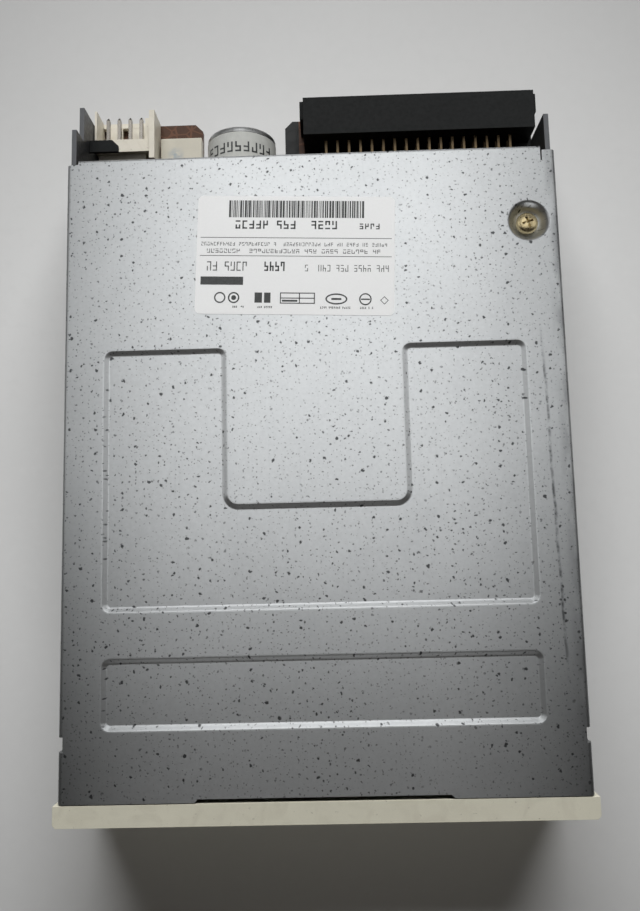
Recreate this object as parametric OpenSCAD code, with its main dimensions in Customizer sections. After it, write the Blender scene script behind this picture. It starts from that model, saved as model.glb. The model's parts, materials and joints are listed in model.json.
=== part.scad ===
// A 3.5-inch floppy disk drive, one inch high, lying on its base.
// X runs across the drive, Y from the bezel to the connectors, Z up.
// The origin is under the middle of the drive, on the surface it stands on.
// At rest no disk is in: the disk carrier is up, the button is in and the door is shut.

/* [Drive body] */
// Width of the bezel and across the two side mounting faces
body_w = 101.6; // [101.2:0.2:103.6]
// Depth from the back of the bezel to the ends of the connectors
body_d = 145; // [144.5:0.5:150]
// Height from the base to the top of the cover
body_h = 25.4; // [25.4:0.2:28]

/* [Top cover] */
// Width across the cover's side flanges
cover_w = 100; // [99.4:0.2:100.4]
// Depth of the cover's side strips
cover_d = 126; // [125.5:0.5:128]
// Thickness of the cover's sheet
cover_t = 0.6; // [0.4:0.1:0.7]
// Outer radius of the bends along the sides
cover_bend_r = 1; // [0.8:0.1:1.6]
// Height of the side flanges
flange_h = 9; // [6:0.5:10]
// Depth of the pressed panels
press_depth = 0.5; // [0.2:0.1:0.6]
// Half width of both pressed panels
press_half_w = 41.8; // [38:0.2:43]
// Half width of the raised tongue over the heads
tongue_half_w = 17.6; // [14:0.2:24]
// Rim radius of the pressed seat of the cover screw
seat_r = 4.3; // [4:0.1:5]
// Depth of the pressed seat of the cover screw
seat_depth = 2; // [1.8:0.1:2.2]

/* [Chassis] */
// Thickness of the chassis steel
frame_t = 1; // [0.8:0.1:1.2]
// Height of the underside of the deck
deck_z = 7.4; // [7.3:0.1:7.8]
// Spacing of the mounting holes along the drive
mount_pitch = 60; // [56:1:64]
// First mounting hole, from the back of the bezel
mount_first = 31; // [28:1:34]
// Height of the side mounting holes
mount_h = 5; // [4:0.5:5.5]
// Spacing of the base mounting holes across the drive
base_pitch_x = 90; // [88:1:91]
// Radius of the M3 tapped holes
mount_r = 1.25; // [1.1:0.05:1.6]

/* [Bezel] */
// Thickness of the bezel, front to back
bezel_t = 4.2; // [4:0.1:6]
// Thickness of the bezel's front wall
bezel_face_t = 2.2; // [1.8:0.1:2.4]
// Width of the disk slot
slot_w = 93; // [92:0.5:94]
// Width of the eject button
button_w = 13; // [10:0.5:14]
// Height of the eject button
button_h = 6; // [5:0.5:6.5]
// Centre of the eject button, to the right of the middle
button_x = 30; // [28:0.5:31]

/* [Disk path] */
// Width of the disk case
disk_w = 90; // [88:0.5:90]
// Length of the disk case
disk_l = 94; // [93:0.5:94.5]
// Thickness of the disk case
disk_t = 3.3; // [3.2:0.1:3.4]
// Clear height inside the disk carrier
channel_h = 4.5; // [4.4:0.1:4.7]
// Drop of the disk carrier when a disk is loaded
drop_h = 3; // [2.6:0.1:3]
// Travel of the slide plate and the eject button
eject_stroke = 6; // [5:0.5:6]
// Thickness of the carrier's and the slide plate's steel
plate_t = 0.8; // [0.6:0.1:0.8]

/* [Spindle] */
// Spindle axis, from the back of the bezel
spindle_y = 45.5; // [45:0.5:46]
// Outer radius of the rotor cup
rotor_r = 19.5; // [18.5:0.5:19.5]
// Radius of the hub that the disk sits on
hub_r = 12.2; // [11.8:0.2:12.6]
// Radius of the spindle shaft
shaft_r = 1.5; // [1.2:0.1:1.6]
// Poles of the stator
poles = 12; // [6:3:12]

/* [Heads] */
// Radius of the outermost track
track_zero_r = 39.5; // [39:0.5:40]
// Half width of the carriage between its rod and its screw
carriage_half_w = 8; // [7.5:0.5:9]
// Thickness of the upper head arm
arm_t = 0.8; // [0.6:0.1:0.9]
// Height of each head's shoe
shoe_h = 0.6; // [0.5:0.1:0.7]

/* [Head drive] */
// Stepper motor axis, to the left of the middle
motor_x = 15.4; // [15:0.2:16]
// Height of the stepper motor axis
motor_z = 11; // [10.8:0.1:11.2]
// Radius of the stepper motor can
motor_r = 7.5; // [7:0.1:7.6]
// Length of the stepper motor can
motor_l = 17; // [16:0.5:17]
// Outer radius of the lead screw
screw_r = 1.5; // [1.2:0.1:1.6]
// Lead of the lead screw
screw_lead = 3.75; // [3:0.25:4]
// Guide rod axis, to the right of the middle
rod_x = 16; // [15.5:0.1:16.5]
// Radius of the guide rod
rod_r = 1.5; // [1.2:0.1:1.6]

/* [Rear board] */
// Thickness of the main board
board_t = 1.6; // [1:0.2:1.6]
// Height of the main board's top
board_top = 6.5; // [6.2:0.1:6.6]
// Front edge of the main board, from the back of the bezel
board_front = 88; // [87:0.5:89]
// Pins in each row of the signal header
header_columns = 17; // [15:1:17]
// Pitch of the signal header's pins
header_pitch = 2.54; // [2.54:0.01:2.6]
// Centre of the signal header, to the right of the middle
header_x = 23.8; // [23.6:0.1:24]
// Height of the signal header's shroud
header_h = 9.2; // [8.8:0.1:9.6]
// Depth of the signal header's shroud
header_d = 8.6; // [8:0.1:9]
// Pins of the power connector
power_pins_n = 4; // [2:1:4]
// Pitch of the power connector's pins
power_pitch = 2.5; // [2.5:0.02:2.54]
// Centre of the power connector, to the left of the middle
power_x = 42.1; // [41.5:0.1:42.2]

/* [Hidden] */
$fn = 48;

// Shared clearances and small sizes
over = 1;                   // overrun of every cut
slip = 0.3;                 // gap beside a moving or dropped-in piece
seat_gap = 0.2;             // gap under a piece that only rests in place
run_gap = 0.04;             // radial gap of a running fit
hold_gap = 0.02;            // radial gap of a pressed or tapped fit
corner_r = 1.5;             // corner radius of pressed outlines

// Places along the drive: at() turns a distance behind the bezel into Y
front_y = -(bezel_t + body_d) / 2;
face_y = front_y + bezel_t;
function at(y) = face_y + y;

// Heights from the cover down to the loaded disk
cover_under = body_h - cover_t;
press_floor = body_h - press_depth;
press_under = press_floor - cover_t;
carrier_top = press_under - slip - 0.1 * plate_t;
channel_top = carrier_top - plate_t;
channel_bot = channel_top - channel_h;
carrier_bot = channel_bot - plate_t;
loaded_disk_z = channel_bot - drop_h;
media_z = loaded_disk_z + disk_t / 2;
deck_top = deck_z + frame_t;

// Widths from the walls inwards
low_out = body_w / 2;
low_in = low_out - frame_t;
wall_out = cover_w / 2 - cover_t - 0.15 * cover_t;
wall_in = wall_out - frame_t;
slide_out = wall_in - slip - 0.2 * slip;
slide_in = slide_out - plate_t;
channel_half_w = disk_w / 2 + slip;
carrier_out = channel_half_w + plate_t;

// Cover
wall_top = cover_under - seat_gap;
side_strip_w = 2.7;
rear_lip = 0.9;
relief_w = 0.3;
relief_l = 2.2;
flange_notch_y = 9.4;
flange_notch_l = 2.8;
flange_notch_w = 0.8;
front_step_half_w = 24.2;
front_step_depth = 0.65;
front_step_slant = 0.6;
panel_low_y = 35.2;
panel_high_y = 86.4;
tongue_low_y = 55.9;
bar_low_y = 13.2;
bar_high_y = 26.3;
cover_screw_x = 43.9;
cover_screw_y = 111.1;
cover_screw_r = 1.3;
cover_screw_head_r = 2.2;
cover_screw_head_h = 1.5;
seat_floor_r = 2.9;
seat_tab_w = 11;
seat_tab_l = 12;
seat_under = body_h - seat_depth - cover_t;
label_w = 40;
label_l = 24.8;
label_t = 0.08;
label_x = -3.3;
label_y = 105.3;
label_turn = -2.3;

// Chassis
wall_front = 0.3;
wall_rear = 134.2;
ear_rear = 141.9;
ear_top = 19.8;
jog_z = 13.6;
foot_w = 8;
foot_front = 20;
foot_rear = 104;
deck_front = 2;
deck_rear = 118;
deck_notch_l = 11;
button_bay_l = 14;
carriage_slot_left = -10.5;
carriage_slot_right = 11;
carriage_slot_front = 66.5;
carriage_slot_rear = 116.5;
motor_tab_half_w = 13;
motor_tab_h = 8.5;
standoff_r = 3;
standoff_x = 44;
standoff_y = 96;
rear_tab_l = 5;
rear_tab_w = 8;
rear_tab_y = 126;
board_screw_r = 1.25;
board_screw_head_r = 2.3;
board_screw_head_h = 1.4;
front_pin_y = 30;
rear_pin_y = 82;
cam_slot_y = [front_pin_y, rear_pin_y];
pin_r = 1;
pin_z = (carrier_top + carrier_bot) / 2 - pin_r;
pin_slot_r = pin_r + slip / 3;

// Bezel
bezel_rear = -seat_gap;
bezel_rim_t = 1.6;
bezel_top_t = 0.8;
bezel_bevel = 0.6;
slot_low = channel_bot - slip;
slot_high = channel_top;
grip_half_w = 14;
grip_r = 13;
grip_depth = 1.1;
grip_z = slot_low;
button_z = 8;
button_l = 13.2;
button_wall = 1.2;
led_x = -24;
led_w = 5;
led_h = 2;
led_z = 10;
led_lamp_l = 8;
led_lamp_w = 6;
led_lamp_h = 3.4;
clip_w = 7;
clip_t = 1.5;
clip_l = 8;
clip_z = 2.4;
clip_nub = 0.8;
clip_nub_l = 2;

// Door
door_t = 1;
door_hinge_drop = 0.8;
door_hinge_z = body_h - bezel_top_t - door_hinge_drop;
door_hinge_y = -bezel_t + bezel_face_t + slip + door_t / 2;
door_barrel_r = 0.6;
door_pin_r = 0.45;
door_pin_l = 1.5;
door_lap = 0.5;
door_half_w = slot_w / 2 + door_lap;
hinge_ear_t = 1.1;
hinge_ear_x = door_half_w + slip;
door_spring_x = 43;
door_spring_l = 2.4;
door_spring_r = 0.75;
door_spring_hole_r = 0.55;
door_spring_notch = 3;

// Carrier and slide plate
carrier_front = 6.2;
disk_rest_y = -2.5;
carrier_tail = 1.5;
carrier_rear = disk_rest_y + disk_l + carrier_tail;
rail_w = 3.2;
window_half_w = 7.5;
window_front = 62;
slide_rise = 4;
slide_z = deck_top + slide_rise;
slide_bar_front = 16;
slide_bar_rear = 23.5;
slide_strip_w = 4.4;
slide_rear = 92;
slide_top = pin_z + pin_r + 1.2 * plate_t;
slide_tab_w = 8;
spring_x = 45.4;
spring_r = 1.5;
spring_hole_r = 1;
spring_z = deck_top + (slide_z - deck_top) / 2;
spring_front = 34;
spring_rear = 54;
hook_t = 1;

// Shutter lever
lever_x = 40;
lever_y = 98;
lever_post_r = 1.5;
lever_hub_r = 3.2;
lever_t = 1;
lever_rise = 5.1;
lever_z = deck_top + lever_rise;
lever_tip_x = 34;
lever_tip_y = 80;
lever_tip_r = 1.3;
lever_arm_w = 3;
lever_tip_top = channel_top - drop_h - slip;
lever_nose_x = 42.2;
lever_nose_y = 88.5;
lever_cap_h = 0.5;
lever_cap_r = 2.4;
collar_r = 2.6;
lever_coil_r = 3.3;

// Spindle
spindle_board_t = 1.2;
spindle_board_half_w = 38;
spindle_board_rear = 84;
bearing_r = 3.9;
bearing_flange_r = 6.5;
bearing_flange_h = 1.2;
bearing_top = 11.3;
bearing_bot = 5;
thrust_t = 0.6;
cup_t = 0.8;
hub_h = 1.3;
hub_rise = 0.3;
hub_top = loaded_disk_z + hub_rise;
rotor_top = hub_top - hub_h;
skirt_rise = 0.8;
skirt_z = deck_z + skirt_rise;
magnet_t = 1.7;
magnet_h = 4;
pole_gap = 0.6;
tooth_w = 2;
core_r = 8;
core_h = 2.2;
coil_w = 3.6;
coil_wrap = 0.7;
centre_pin_r = 1.95;
centre_pin_h = 1.7;
drive_pin_r = 1.3;
drive_pin_x = 10;
drive_pin_h = 1.3;
chuck_in_r = 4.6;
chuck_out_r = 8.2;
chuck_depth = 0.9;

// Heads; the carriage is at track zero
head_y = spindle_y + track_zero_r;
nose_l = 4;
carriage_rise = 0.6;
carriage_z = deck_top + carriage_rise;
carriage_wall = 2;
carriage_top = motor_z + carriage_wall;
carriage_l = 29.5;
bearing_block_half_w = 3.2;
bearing_block_l = 22;
side_arm_l = 6;
side_arm_t = 1.6;
side_arm_top = carriage_top + side_arm_t;
side_arm_end = 24.4;
pad_half = 2.2;
pad_base_half = 3.2;
arm_half_w = 5.5;
arm_reach = 26.5;
arm_pin_r = 0.9;
knuckle_r = 1.6;
ear_t = 1.8;
pivot_z = media_z + shoe_h + arm_t / 2;
lift_need = channel_bot + disk_t + slip - media_z;
lift_deg = asin(lift_need / (arm_reach - pad_half));
follower_r = 0.6;
flag_t = 0.6;
flex_t = 0.3;
flex_half_w = 5;
flex_tail = 4;
flex_loop_y = head_y + carriage_l;
flex_up_z = carriage_z - flex_t;
flex_low_z = board_top + 2 * flex_t;
flex_loop_r = (flex_up_z + flex_t - flex_low_z) / 2;
board_flex_gap = 6;
board_flex_front = board_front + board_flex_gap;

// Head drive
rod_front = 61;
rod_holder_t = 3;
rod_holder_h = 2.5;
rod_foot_l = 6;
rod_foot_t = 1;
rod_screw_r = 0.8;
rod_screw_head_r = 1.6;
rod_screw_head_h = 1;
motor_front = 120.2;
flange_t = 1;
flange_half_w = 12;
flange_half_h = 6.4;
flange_screw_x = 10.2;
flange_screw_r = 0.9;
flange_screw_head_r = 1.8;
motor_boss_r = 3;
motor_rim_r = 5.6;
motor_rim_t = 0.4;
motor_label_t = 0.1;
motor_label_front = 123;
motor_label_l = 13;
screw_front = 91.4;
thread_front = 94;
thread_rear = 117.4;
journal_r = 1.1;
screw_bearing_t = 2;
screw_bearing_half_w = 3.4;
sensor_half_w = 2.3;
sensor_l = 6;
sensor_slot_w = 1.6;
sensor_top = side_arm_top - side_arm_t - slip;
sensor_base_t = 1.2;
sensor_floor = deck_top + sensor_base_t;

// Switches
switch_x = 40;
disk_switch_x = 33;
switch_y = 6.6;
switch_half_w = 2.3;
switch_half_l = 2.8;
switch_proud = 0.5;
switch_top = slide_z + plate_t + switch_proud;
plunger_r = 1.1;
plunger_collar_r = 1.6;
plunger_proud = 1.2;
plunger_top = loaded_disk_z + plunger_proud;
plunger_collar_h = 0.8;

// Rear board
board_side_gap = 1;
board_half_w = low_in - board_side_gap;
board_rear = body_d - slip;
bay_left = -24.9;
bay_right = -5.9;
bay_front = 116;
bay_chamfer = 1.7;
shroud_wall = 1.2;
shroud_back = 2;
shroud_end = 4.9;
shroud_ledge_w = 0.8;
shroud_ledge_l = 4.2;
shroud_ledge_h = 7.6;
shroud_key_w = 4.5;
header_pin_w = 0.64;
header_pin_rows = 2.54;
header_pin_reach = 1.4;
header_bend = 4.2;
pin_drop = 1.5;
power_wall = 1.2;
power_end_left = 2.3;
power_end_right = 3.6;
power_base_l = 2.9;
power_base_h = 5.7;
power_wall_h = 6.5;
power_floor_h = 1.2;
power_pin_w = 0.9;
power_pin_z = 10;
power_l = 9.3;
power_bend = 1.9;
stepper_socket_x = -29.5;
stepper_socket_w = 9.3;
stepper_socket_y = 133.2;
stepper_socket_l = 7;
stepper_socket_h = 2.5;
flex_socket_l = 4;
chip_half = 7;
chip_h = 1.9;
chip_x = 20;
chip_y = 110;
lead_l = 1.2;
lead_w = 0.4;
leads_side = 11;
guard_l = 2.8;
guard_w = 6.4;
guard_t = 0.6;
guard_z = 15.6;
guard_y = 133.6;

// Colours, as the photograph shows them
zinc = [0.66, 0.68, 0.71];
steel = [0.55, 0.56, 0.58];
cream = [0.86, 0.83, 0.75];
black = [0.07, 0.07, 0.08];
board_brown = [0.42, 0.22, 0.13];
white = [0.92, 0.92, 0.91];
copper = [0.72, 0.42, 0.22];
brass = [0.78, 0.68, 0.40];
ferrite = [0.20, 0.20, 0.21];
film = [0.72, 0.42, 0.16];

// A box between two corners
module block(low, high) {
    translate(low) cube([high[0] - low[0], high[1] - low[1], high[2] - low[2]]);
}

// Round bars along each axis
module rod_along_x(p, r, l) {
    translate(p) rotate([0, 90, 0]) cylinder(r = r, h = l);
}

module rod_along_y(p, r, l) {
    translate(p) rotate([-90, 0, 0]) cylinder(r = r, h = l);
}

module rod_along_z(p, r, l) {
    translate(p) cylinder(r = r, h = l);
}

module both_sides() {
    children();
    mirror([1, 0, 0]) children();
}

// A flat outline with true round corners
module round_outline(x_low, x_high, y_low, y_high, r) {
    translate([x_low + r, y_low]) square([x_high - x_low - 2 * r, y_high - y_low]);
    translate([x_low, y_low + r]) square([x_high - x_low, y_high - y_low - 2 * r]);
    for (x = [x_low + r, x_high - r], y = [y_low + r, y_high - r])
        translate([x, y]) circle(r = r);
}

// The cover's cross-section: a flat top with rounded bends and two flanges
module cover_outline(w, top, low, r) {
    translate([-w / 2, low]) square([w, top - low - r]);
    translate([-w / 2 + r, low]) square([w - 2 * r, top - low]);
    for (side = [-1, 1]) translate([side * (w / 2 - r), top - r]) circle(r = r);
}

// The U-shaped panel and the bar below it; grow widens both by a sheet thickness
module pressed_outlines(grow) {
    difference() {
        round_outline(-press_half_w - grow, press_half_w + grow,
            at(panel_low_y) - grow, at(panel_high_y) + grow, corner_r + grow);
        round_outline(-tongue_half_w + grow, tongue_half_w - grow,
            at(tongue_low_y) + grow, at(panel_high_y) + grow + corner_r * 4, corner_r);
    }
    round_outline(-press_half_w - grow, press_half_w + grow,
        at(bar_low_y) - grow, at(bar_high_y) + grow, corner_r + grow);
}

module cover_blank() {
    flange_low = body_h - flange_h;
    difference() {
        translate([0, at(cover_d + rear_lip), 0]) rotate([90, 0, 0])
            linear_extrude(height = cover_d + rear_lip)
                difference() {
                    cover_outline(cover_w, body_h, flange_low, cover_bend_r);
                    cover_outline(cover_w - 2 * cover_t, cover_under, flange_low - over,
                        cover_bend_r - cover_t);
                }
        // the rear lip stands only between the side strips
        both_sides() {
            block([cover_w / 2 - side_strip_w, at(cover_d), flange_low - over],
                [cover_w / 2 + over, at(cover_d + rear_lip) + over, body_h + over]);
            block([cover_w / 2 - side_strip_w - relief_w, at(cover_d - relief_l), press_under],
                [cover_w / 2 - side_strip_w, at(cover_d + rear_lip) + over, body_h + over]);
            block([cover_w / 2 - flange_notch_w, at(flange_notch_y), flange_low - over],
                [cover_w / 2 + over, at(flange_notch_y + flange_notch_l), body_h + over]);
        }
    }
}

module top_cover() {
    color(zinc) difference() {
        union() {
            cover_blank();
            translate([0, 0, press_under]) linear_extrude(height = cover_under - press_under)
                pressed_outlines(cover_t);
            translate([cover_screw_x, at(cover_screw_y), seat_under])
                cylinder(r1 = seat_floor_r + cover_t, r2 = seat_r + cover_t, h = cover_under - seat_under);
        }
        translate([0, 0, press_floor]) linear_extrude(height = press_depth + over) pressed_outlines(0);
        translate([cover_screw_x, at(cover_screw_y), body_h - seat_depth])
            cylinder(r1 = seat_floor_r, r2 = seat_r, h = seat_depth);
        translate([cover_screw_x, at(cover_screw_y), body_h - hold_gap])
            cylinder(r = seat_r, h = over);
        rod_along_z([cover_screw_x, at(cover_screw_y), seat_under - over],
            cover_screw_r + slip, seat_depth + cover_t + over);
        // shallow step in the front edge, with slanted ends
        translate([0, 0, cover_under - over]) linear_extrude(height = cover_t + 2 * over)
            polygon([[-front_step_half_w, at(0) - over], [-front_step_half_w, at(0)],
                [-front_step_half_w + front_step_slant, at(front_step_depth)],
                [front_step_half_w - front_step_slant, at(front_step_depth)],
                [front_step_half_w, at(0)], [front_step_half_w, at(0) - over]]);
    }
}

// A cross-head screw standing on its point; p is the centre of the head's seat
module cross_screw(p, r, l, head_r, head_h) {
    translate(p) difference() {
        union() {
            translate([0, 0, -l]) cylinder(r = r, h = l + head_h / 2);
            cylinder(r = head_r, h = head_h / 2);
            translate([0, 0, head_h / 2]) cylinder(r1 = head_r, r2 = head_r * 0.62, h = head_h / 2);
        }
        for (turn = [0, 90]) rotate([0, 0, turn])
            translate([-head_r / 2, -head_r / 8, head_h * 0.45]) cube([head_r, head_r / 4, head_h]);
    }
}

module cover_screw() {
    color(brass) cross_screw([cover_screw_x, at(cover_screw_y), body_h - seat_depth],
        cover_screw_r - hold_gap, cover_t + frame_t + cover_screw_r,
        cover_screw_head_r, cover_screw_head_h);
}

module cover_label() {
    color(white) translate([label_x, at(label_y), body_h]) rotate([0, 0, label_turn])
        linear_extrude(height = label_t)
            round_outline(-label_w / 2, label_w / 2, -label_l / 2, label_l / 2, corner_r * 0.6);
}

// One side of the chassis, on the right
module side_wall() {
    block([low_in, at(wall_front), 0], [low_out, at(wall_rear), jog_z + frame_t]);
    block([wall_in, at(wall_front), jog_z], [low_out, at(wall_rear), jog_z + frame_t]);
    block([wall_in, at(wall_front), jog_z], [wall_out, at(wall_rear), wall_top]);
    block([low_out - foot_w, at(foot_front), 0], [low_out, at(foot_rear), frame_t]);
    block([low_in - rear_tab_w, at(rear_tab_y), board_top], [low_out, at(rear_tab_y + rear_tab_l),
        board_top + frame_t]);
    rod_along_z([standoff_x, at(standoff_y), board_top], standoff_r, deck_z - board_top + frame_t / 2);
    block([spring_x - spring_hole_r, at(spring_front) - hook_t, deck_top],
        [spring_x + spring_hole_r, at(spring_front), spring_z + spring_hole_r]);
}

module mount_holes() {
    for (y = [mount_first, mount_first + mount_pitch]) {
        rod_along_x([-low_out - over, at(y), mount_h], mount_r, body_w + 2 * over);
        for (x = [-base_pitch_x / 2, base_pitch_x / 2])
            rod_along_z([x, at(y), -over], mount_r, frame_t + 2 * over);
    }
}

// Upright slots that keep the carrier's pins from moving along the drive
module pin_slots() {
    for (y = cam_slot_y, x = [-low_out, wall_in - over]) {
        block([x, at(y) - pin_slot_r, pin_z - drop_h],
            [x + low_out - wall_in + over, at(y) + pin_slot_r, pin_z]);
        for (z = [pin_z - drop_h, pin_z])
            rod_along_x([x, at(y), z], pin_slot_r, low_out - wall_in + over);
    }
}

module chassis() {
    button_bay = button_w / 2 + frame_t;
    color(steel) difference() {
        union() {
            block([-low_in - hold_gap, at(deck_front), deck_z],
                [low_in + hold_gap, at(deck_rear), deck_top]);
            both_sides() side_wall();
            // the left wall runs on beside the power connector
            block([-wall_out, at(wall_rear) - frame_t, board_top + frame_t],
                [-wall_in, at(ear_rear), ear_top]);
            // seat of the cover screw
            block([cover_screw_x - seat_tab_w / 2, at(cover_screw_y) - seat_tab_l / 2,
                seat_under - frame_t],
                [wall_out, at(cover_screw_y) + seat_tab_l / 2, seat_under]);
            // upright tab that carries the stepper motor
            block([-motor_x - motor_tab_half_w, at(deck_rear), deck_z],
                [-motor_x + motor_tab_half_w, at(deck_rear) + frame_t, motor_z + motor_tab_h]);
        }
        rod_along_z([0, at(spindle_y), deck_z - over], rotor_r + over, frame_t + 2 * over);
        block([carriage_slot_left, at(carriage_slot_front), deck_z - over],
            [carriage_slot_right, at(carriage_slot_rear), deck_top + over]);
        block([button_x - button_bay, at(deck_front) - over, deck_z - over],
            [button_x + button_bay, at(button_bay_l), deck_top + over]);
        both_sides() block([low_in - clip_t - 2 * slip - frame_t, at(deck_front) - over, deck_z - over],
            [low_in, at(deck_notch_l), deck_top + over]);
        // windows that the bezel's clips snap into
        both_sides() block([low_in - over, at(clip_l) - clip_nub_l - slip, clip_z - slip],
            [low_out + over, at(clip_l) + slip, clip_z + clip_w + slip]);
        both_sides() rod_along_z([standoff_x, at(standoff_y), board_top - over], board_screw_r,
            deck_top - board_top + 2 * over);
        both_sides() rod_along_z([low_in - rear_tab_w / 2, at(rear_tab_y + rear_tab_l / 2),
            board_top - over],
            board_screw_r, frame_t + 2 * over);
        rod_along_z([cover_screw_x, at(cover_screw_y), seat_under - frame_t - over], cover_screw_r,
            frame_t + 2 * over);
        rod_along_z([cover_screw_x, at(cover_screw_y), seat_under], seat_r + cover_t + slip, body_h);
        rod_along_z([lever_x, at(lever_y), deck_z - over], lever_post_r, frame_t + 2 * over);
        rod_along_y([-motor_x, at(deck_rear) - over, motor_z], motor_boss_r + slip / 3, frame_t + 2 * over);
        for (x = [-flange_screw_x, flange_screw_x])
            rod_along_y([-motor_x + x, at(deck_rear) - over, motor_z], flange_screw_r, frame_t + 2 * over);
        for (y = [rod_front, deck_rear - rod_holder_t])
            rod_along_z([rod_x + rod_foot_l, at(y) + rod_holder_t / 2, deck_z - over], rod_screw_r,
                frame_t + 2 * over);
        pin_slots();
        mount_holes();
    }
}

// Bezel: a shallow tray with a front wall, clips and the door's hinge ears
module front_bezel() {
    ear_low = door_hinge_z - door_barrel_r - hinge_ear_t;
    color(cream) difference() {
        union() {
            difference() {
                linear_extrude(height = body_h)
                    polygon([[-body_w / 2, at(bezel_rear)], [-body_w / 2, front_y + bezel_bevel],
                        [-body_w / 2 + bezel_bevel, front_y], [body_w / 2 - bezel_bevel, front_y],
                        [body_w / 2, front_y + bezel_bevel], [body_w / 2, at(bezel_rear)]]);
                block([-body_w / 2 + bezel_rim_t, front_y + bezel_face_t, bezel_rim_t],
                    [body_w / 2 - bezel_rim_t, at(over), body_h - bezel_top_t]);
            }
            both_sides() {
                block([hinge_ear_x, front_y + bezel_face_t - hold_gap, ear_low],
                    [hinge_ear_x + hinge_ear_t, at(bezel_rear), body_h - bezel_top_t + hold_gap]);
                block([low_in - slip - clip_t, front_y + bezel_face_t - hold_gap, clip_z],
                    [low_in - slip, at(clip_l), clip_z + clip_w]);
                block([low_in - slip - clip_t, at(clip_l) - clip_nub_l, clip_z],
                    [low_in - slip + clip_nub, at(clip_l), clip_z + clip_w]);
            }
            // collar round the indicator lamp
            block([led_x - led_w / 2 - button_wall, front_y + bezel_face_t - hold_gap,
                    led_z - led_h / 2 - button_wall],
                [led_x + led_w / 2 + button_wall, at(bezel_rear), led_z + led_h / 2 + button_wall]);
        }
        block([-slot_w / 2, front_y - over, slot_low],
            [slot_w / 2, front_y + bezel_face_t + over, slot_high]);
        // finger grip: a round scoop in the middle of the slot
        intersection() {
            rod_along_x([-grip_half_w, front_y - grip_r + grip_depth, grip_z], grip_r, 2 * grip_half_w);
            block([-grip_half_w, front_y - over, button_z - button_h],
                [grip_half_w, front_y + bezel_face_t, slot_low + over]);
        }
        block([button_x - button_w / 2 - slip, front_y - over, button_z - button_h / 2 - slip],
            [button_x + button_w / 2 + slip, front_y + bezel_face_t + over,
                button_z + button_h / 2 + slip]);
        block([led_x - led_w / 2 - run_gap, front_y - over, led_z - led_h / 2 - run_gap],
            [led_x + led_w / 2 + run_gap, at(over), led_z + led_h / 2 + run_gap]);
        both_sides() rod_along_x([hinge_ear_x - over, at(door_hinge_y), door_hinge_z],
            door_pin_r + run_gap, hinge_ear_t + 2 * over);
    }
}

module door_flap() {
    low = slot_low - door_lap;
    color(cream) difference() {
        union() {
            block([-door_half_w, at(door_hinge_y) - door_t / 2, low],
                [door_half_w, at(door_hinge_y) + door_t / 2, door_hinge_z]);
            rod_along_x([-door_half_w, at(door_hinge_y), door_hinge_z], door_barrel_r, 2 * door_half_w);
            rod_along_x([-door_half_w - slip - door_pin_l / 2, at(door_hinge_y), door_hinge_z], door_pin_r,
                2 * door_half_w + 2 * slip + door_pin_l);
        }
        // gap in the barrel for the spring, with the hinge wire left in it
        difference() {
            block([-door_spring_x - door_spring_notch, at(door_hinge_y) - door_t, door_hinge_z - door_t],
                [-door_spring_x, at(door_hinge_y) + door_t, door_hinge_z + door_t]);
            rod_along_x([-door_spring_x - door_spring_notch, at(door_hinge_y), door_hinge_z], door_pin_r,
                door_spring_notch);
        }
    }
}

module door_spring() {
    color(steel) difference() {
        rod_along_x([-door_spring_x - door_spring_notch + slip, at(door_hinge_y), door_hinge_z],
            door_spring_r, door_spring_l);
        rod_along_x([-door_spring_x - door_spring_notch, at(door_hinge_y), door_hinge_z],
            door_spring_hole_r, door_spring_notch);
    }
}

module eject_button() {
    half_w = button_w / 2;
    half_h = button_h / 2;
    color(cream) difference() {
        block([button_x - half_w, front_y, button_z - half_h],
            [button_x + half_w, front_y + button_l, button_z + half_h]);
        block([button_x - half_w + button_wall, front_y + bezel_face_t, button_z - half_h + button_wall],
            [button_x + half_w - button_wall, front_y + button_l + over, button_z + half_h - button_wall]);
        // open top at the rear, where the slide plate's tab comes down
        block([button_x - slide_tab_w / 2 - slip, front_y + bezel_face_t, button_z],
            [button_x + slide_tab_w / 2 + slip, front_y + button_l + over, button_z + half_h + over]);
    }
}

module led_lamp() {
    color([0.35, 0.75, 0.35]) union() {
        block([led_x - led_w / 2, front_y + slip, led_z - led_h / 2],
            [led_x + led_w / 2, at(slip), led_z + led_h / 2]);
        block([led_x - led_lamp_w / 2, at(slip), deck_top],
            [led_x + led_lamp_w / 2, at(led_lamp_l), deck_top + led_lamp_h]);
    }
}

// Carrier: a flat channel that the disk slides into
module disk_carrier() {
    color(zinc) difference() {
        union() {
            block([-carrier_out, at(carrier_front), channel_top],
                [carrier_out, at(carrier_rear), carrier_top]);
            both_sides() {
                block([channel_half_w, at(carrier_front), carrier_bot],
                    [carrier_out, at(carrier_rear), carrier_top]);
                block([channel_half_w - rail_w, at(carrier_front), carrier_bot],
                    [carrier_out, at(carrier_rear), channel_bot]);
            }
        }
        block([-window_half_w, at(window_front), channel_top - over],
            [window_half_w, at(carrier_rear) + over, carrier_top + over]);
        both_sides() for (y = cam_slot_y) rod_along_x([channel_half_w - over, at(y), pin_z],
            pin_r - hold_gap, plate_t + 2 * over);
    }
}

module carrier_pins() {
    color(steel) both_sides() for (y = cam_slot_y) {
        rod_along_x([channel_half_w + hold_gap, at(y), pin_z], pin_r - 2 * hold_gap, plate_t);
        rod_along_x([carrier_out + hold_gap, at(y), pin_z], pin_r, wall_out - carrier_out - slip);
    }
}

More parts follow.
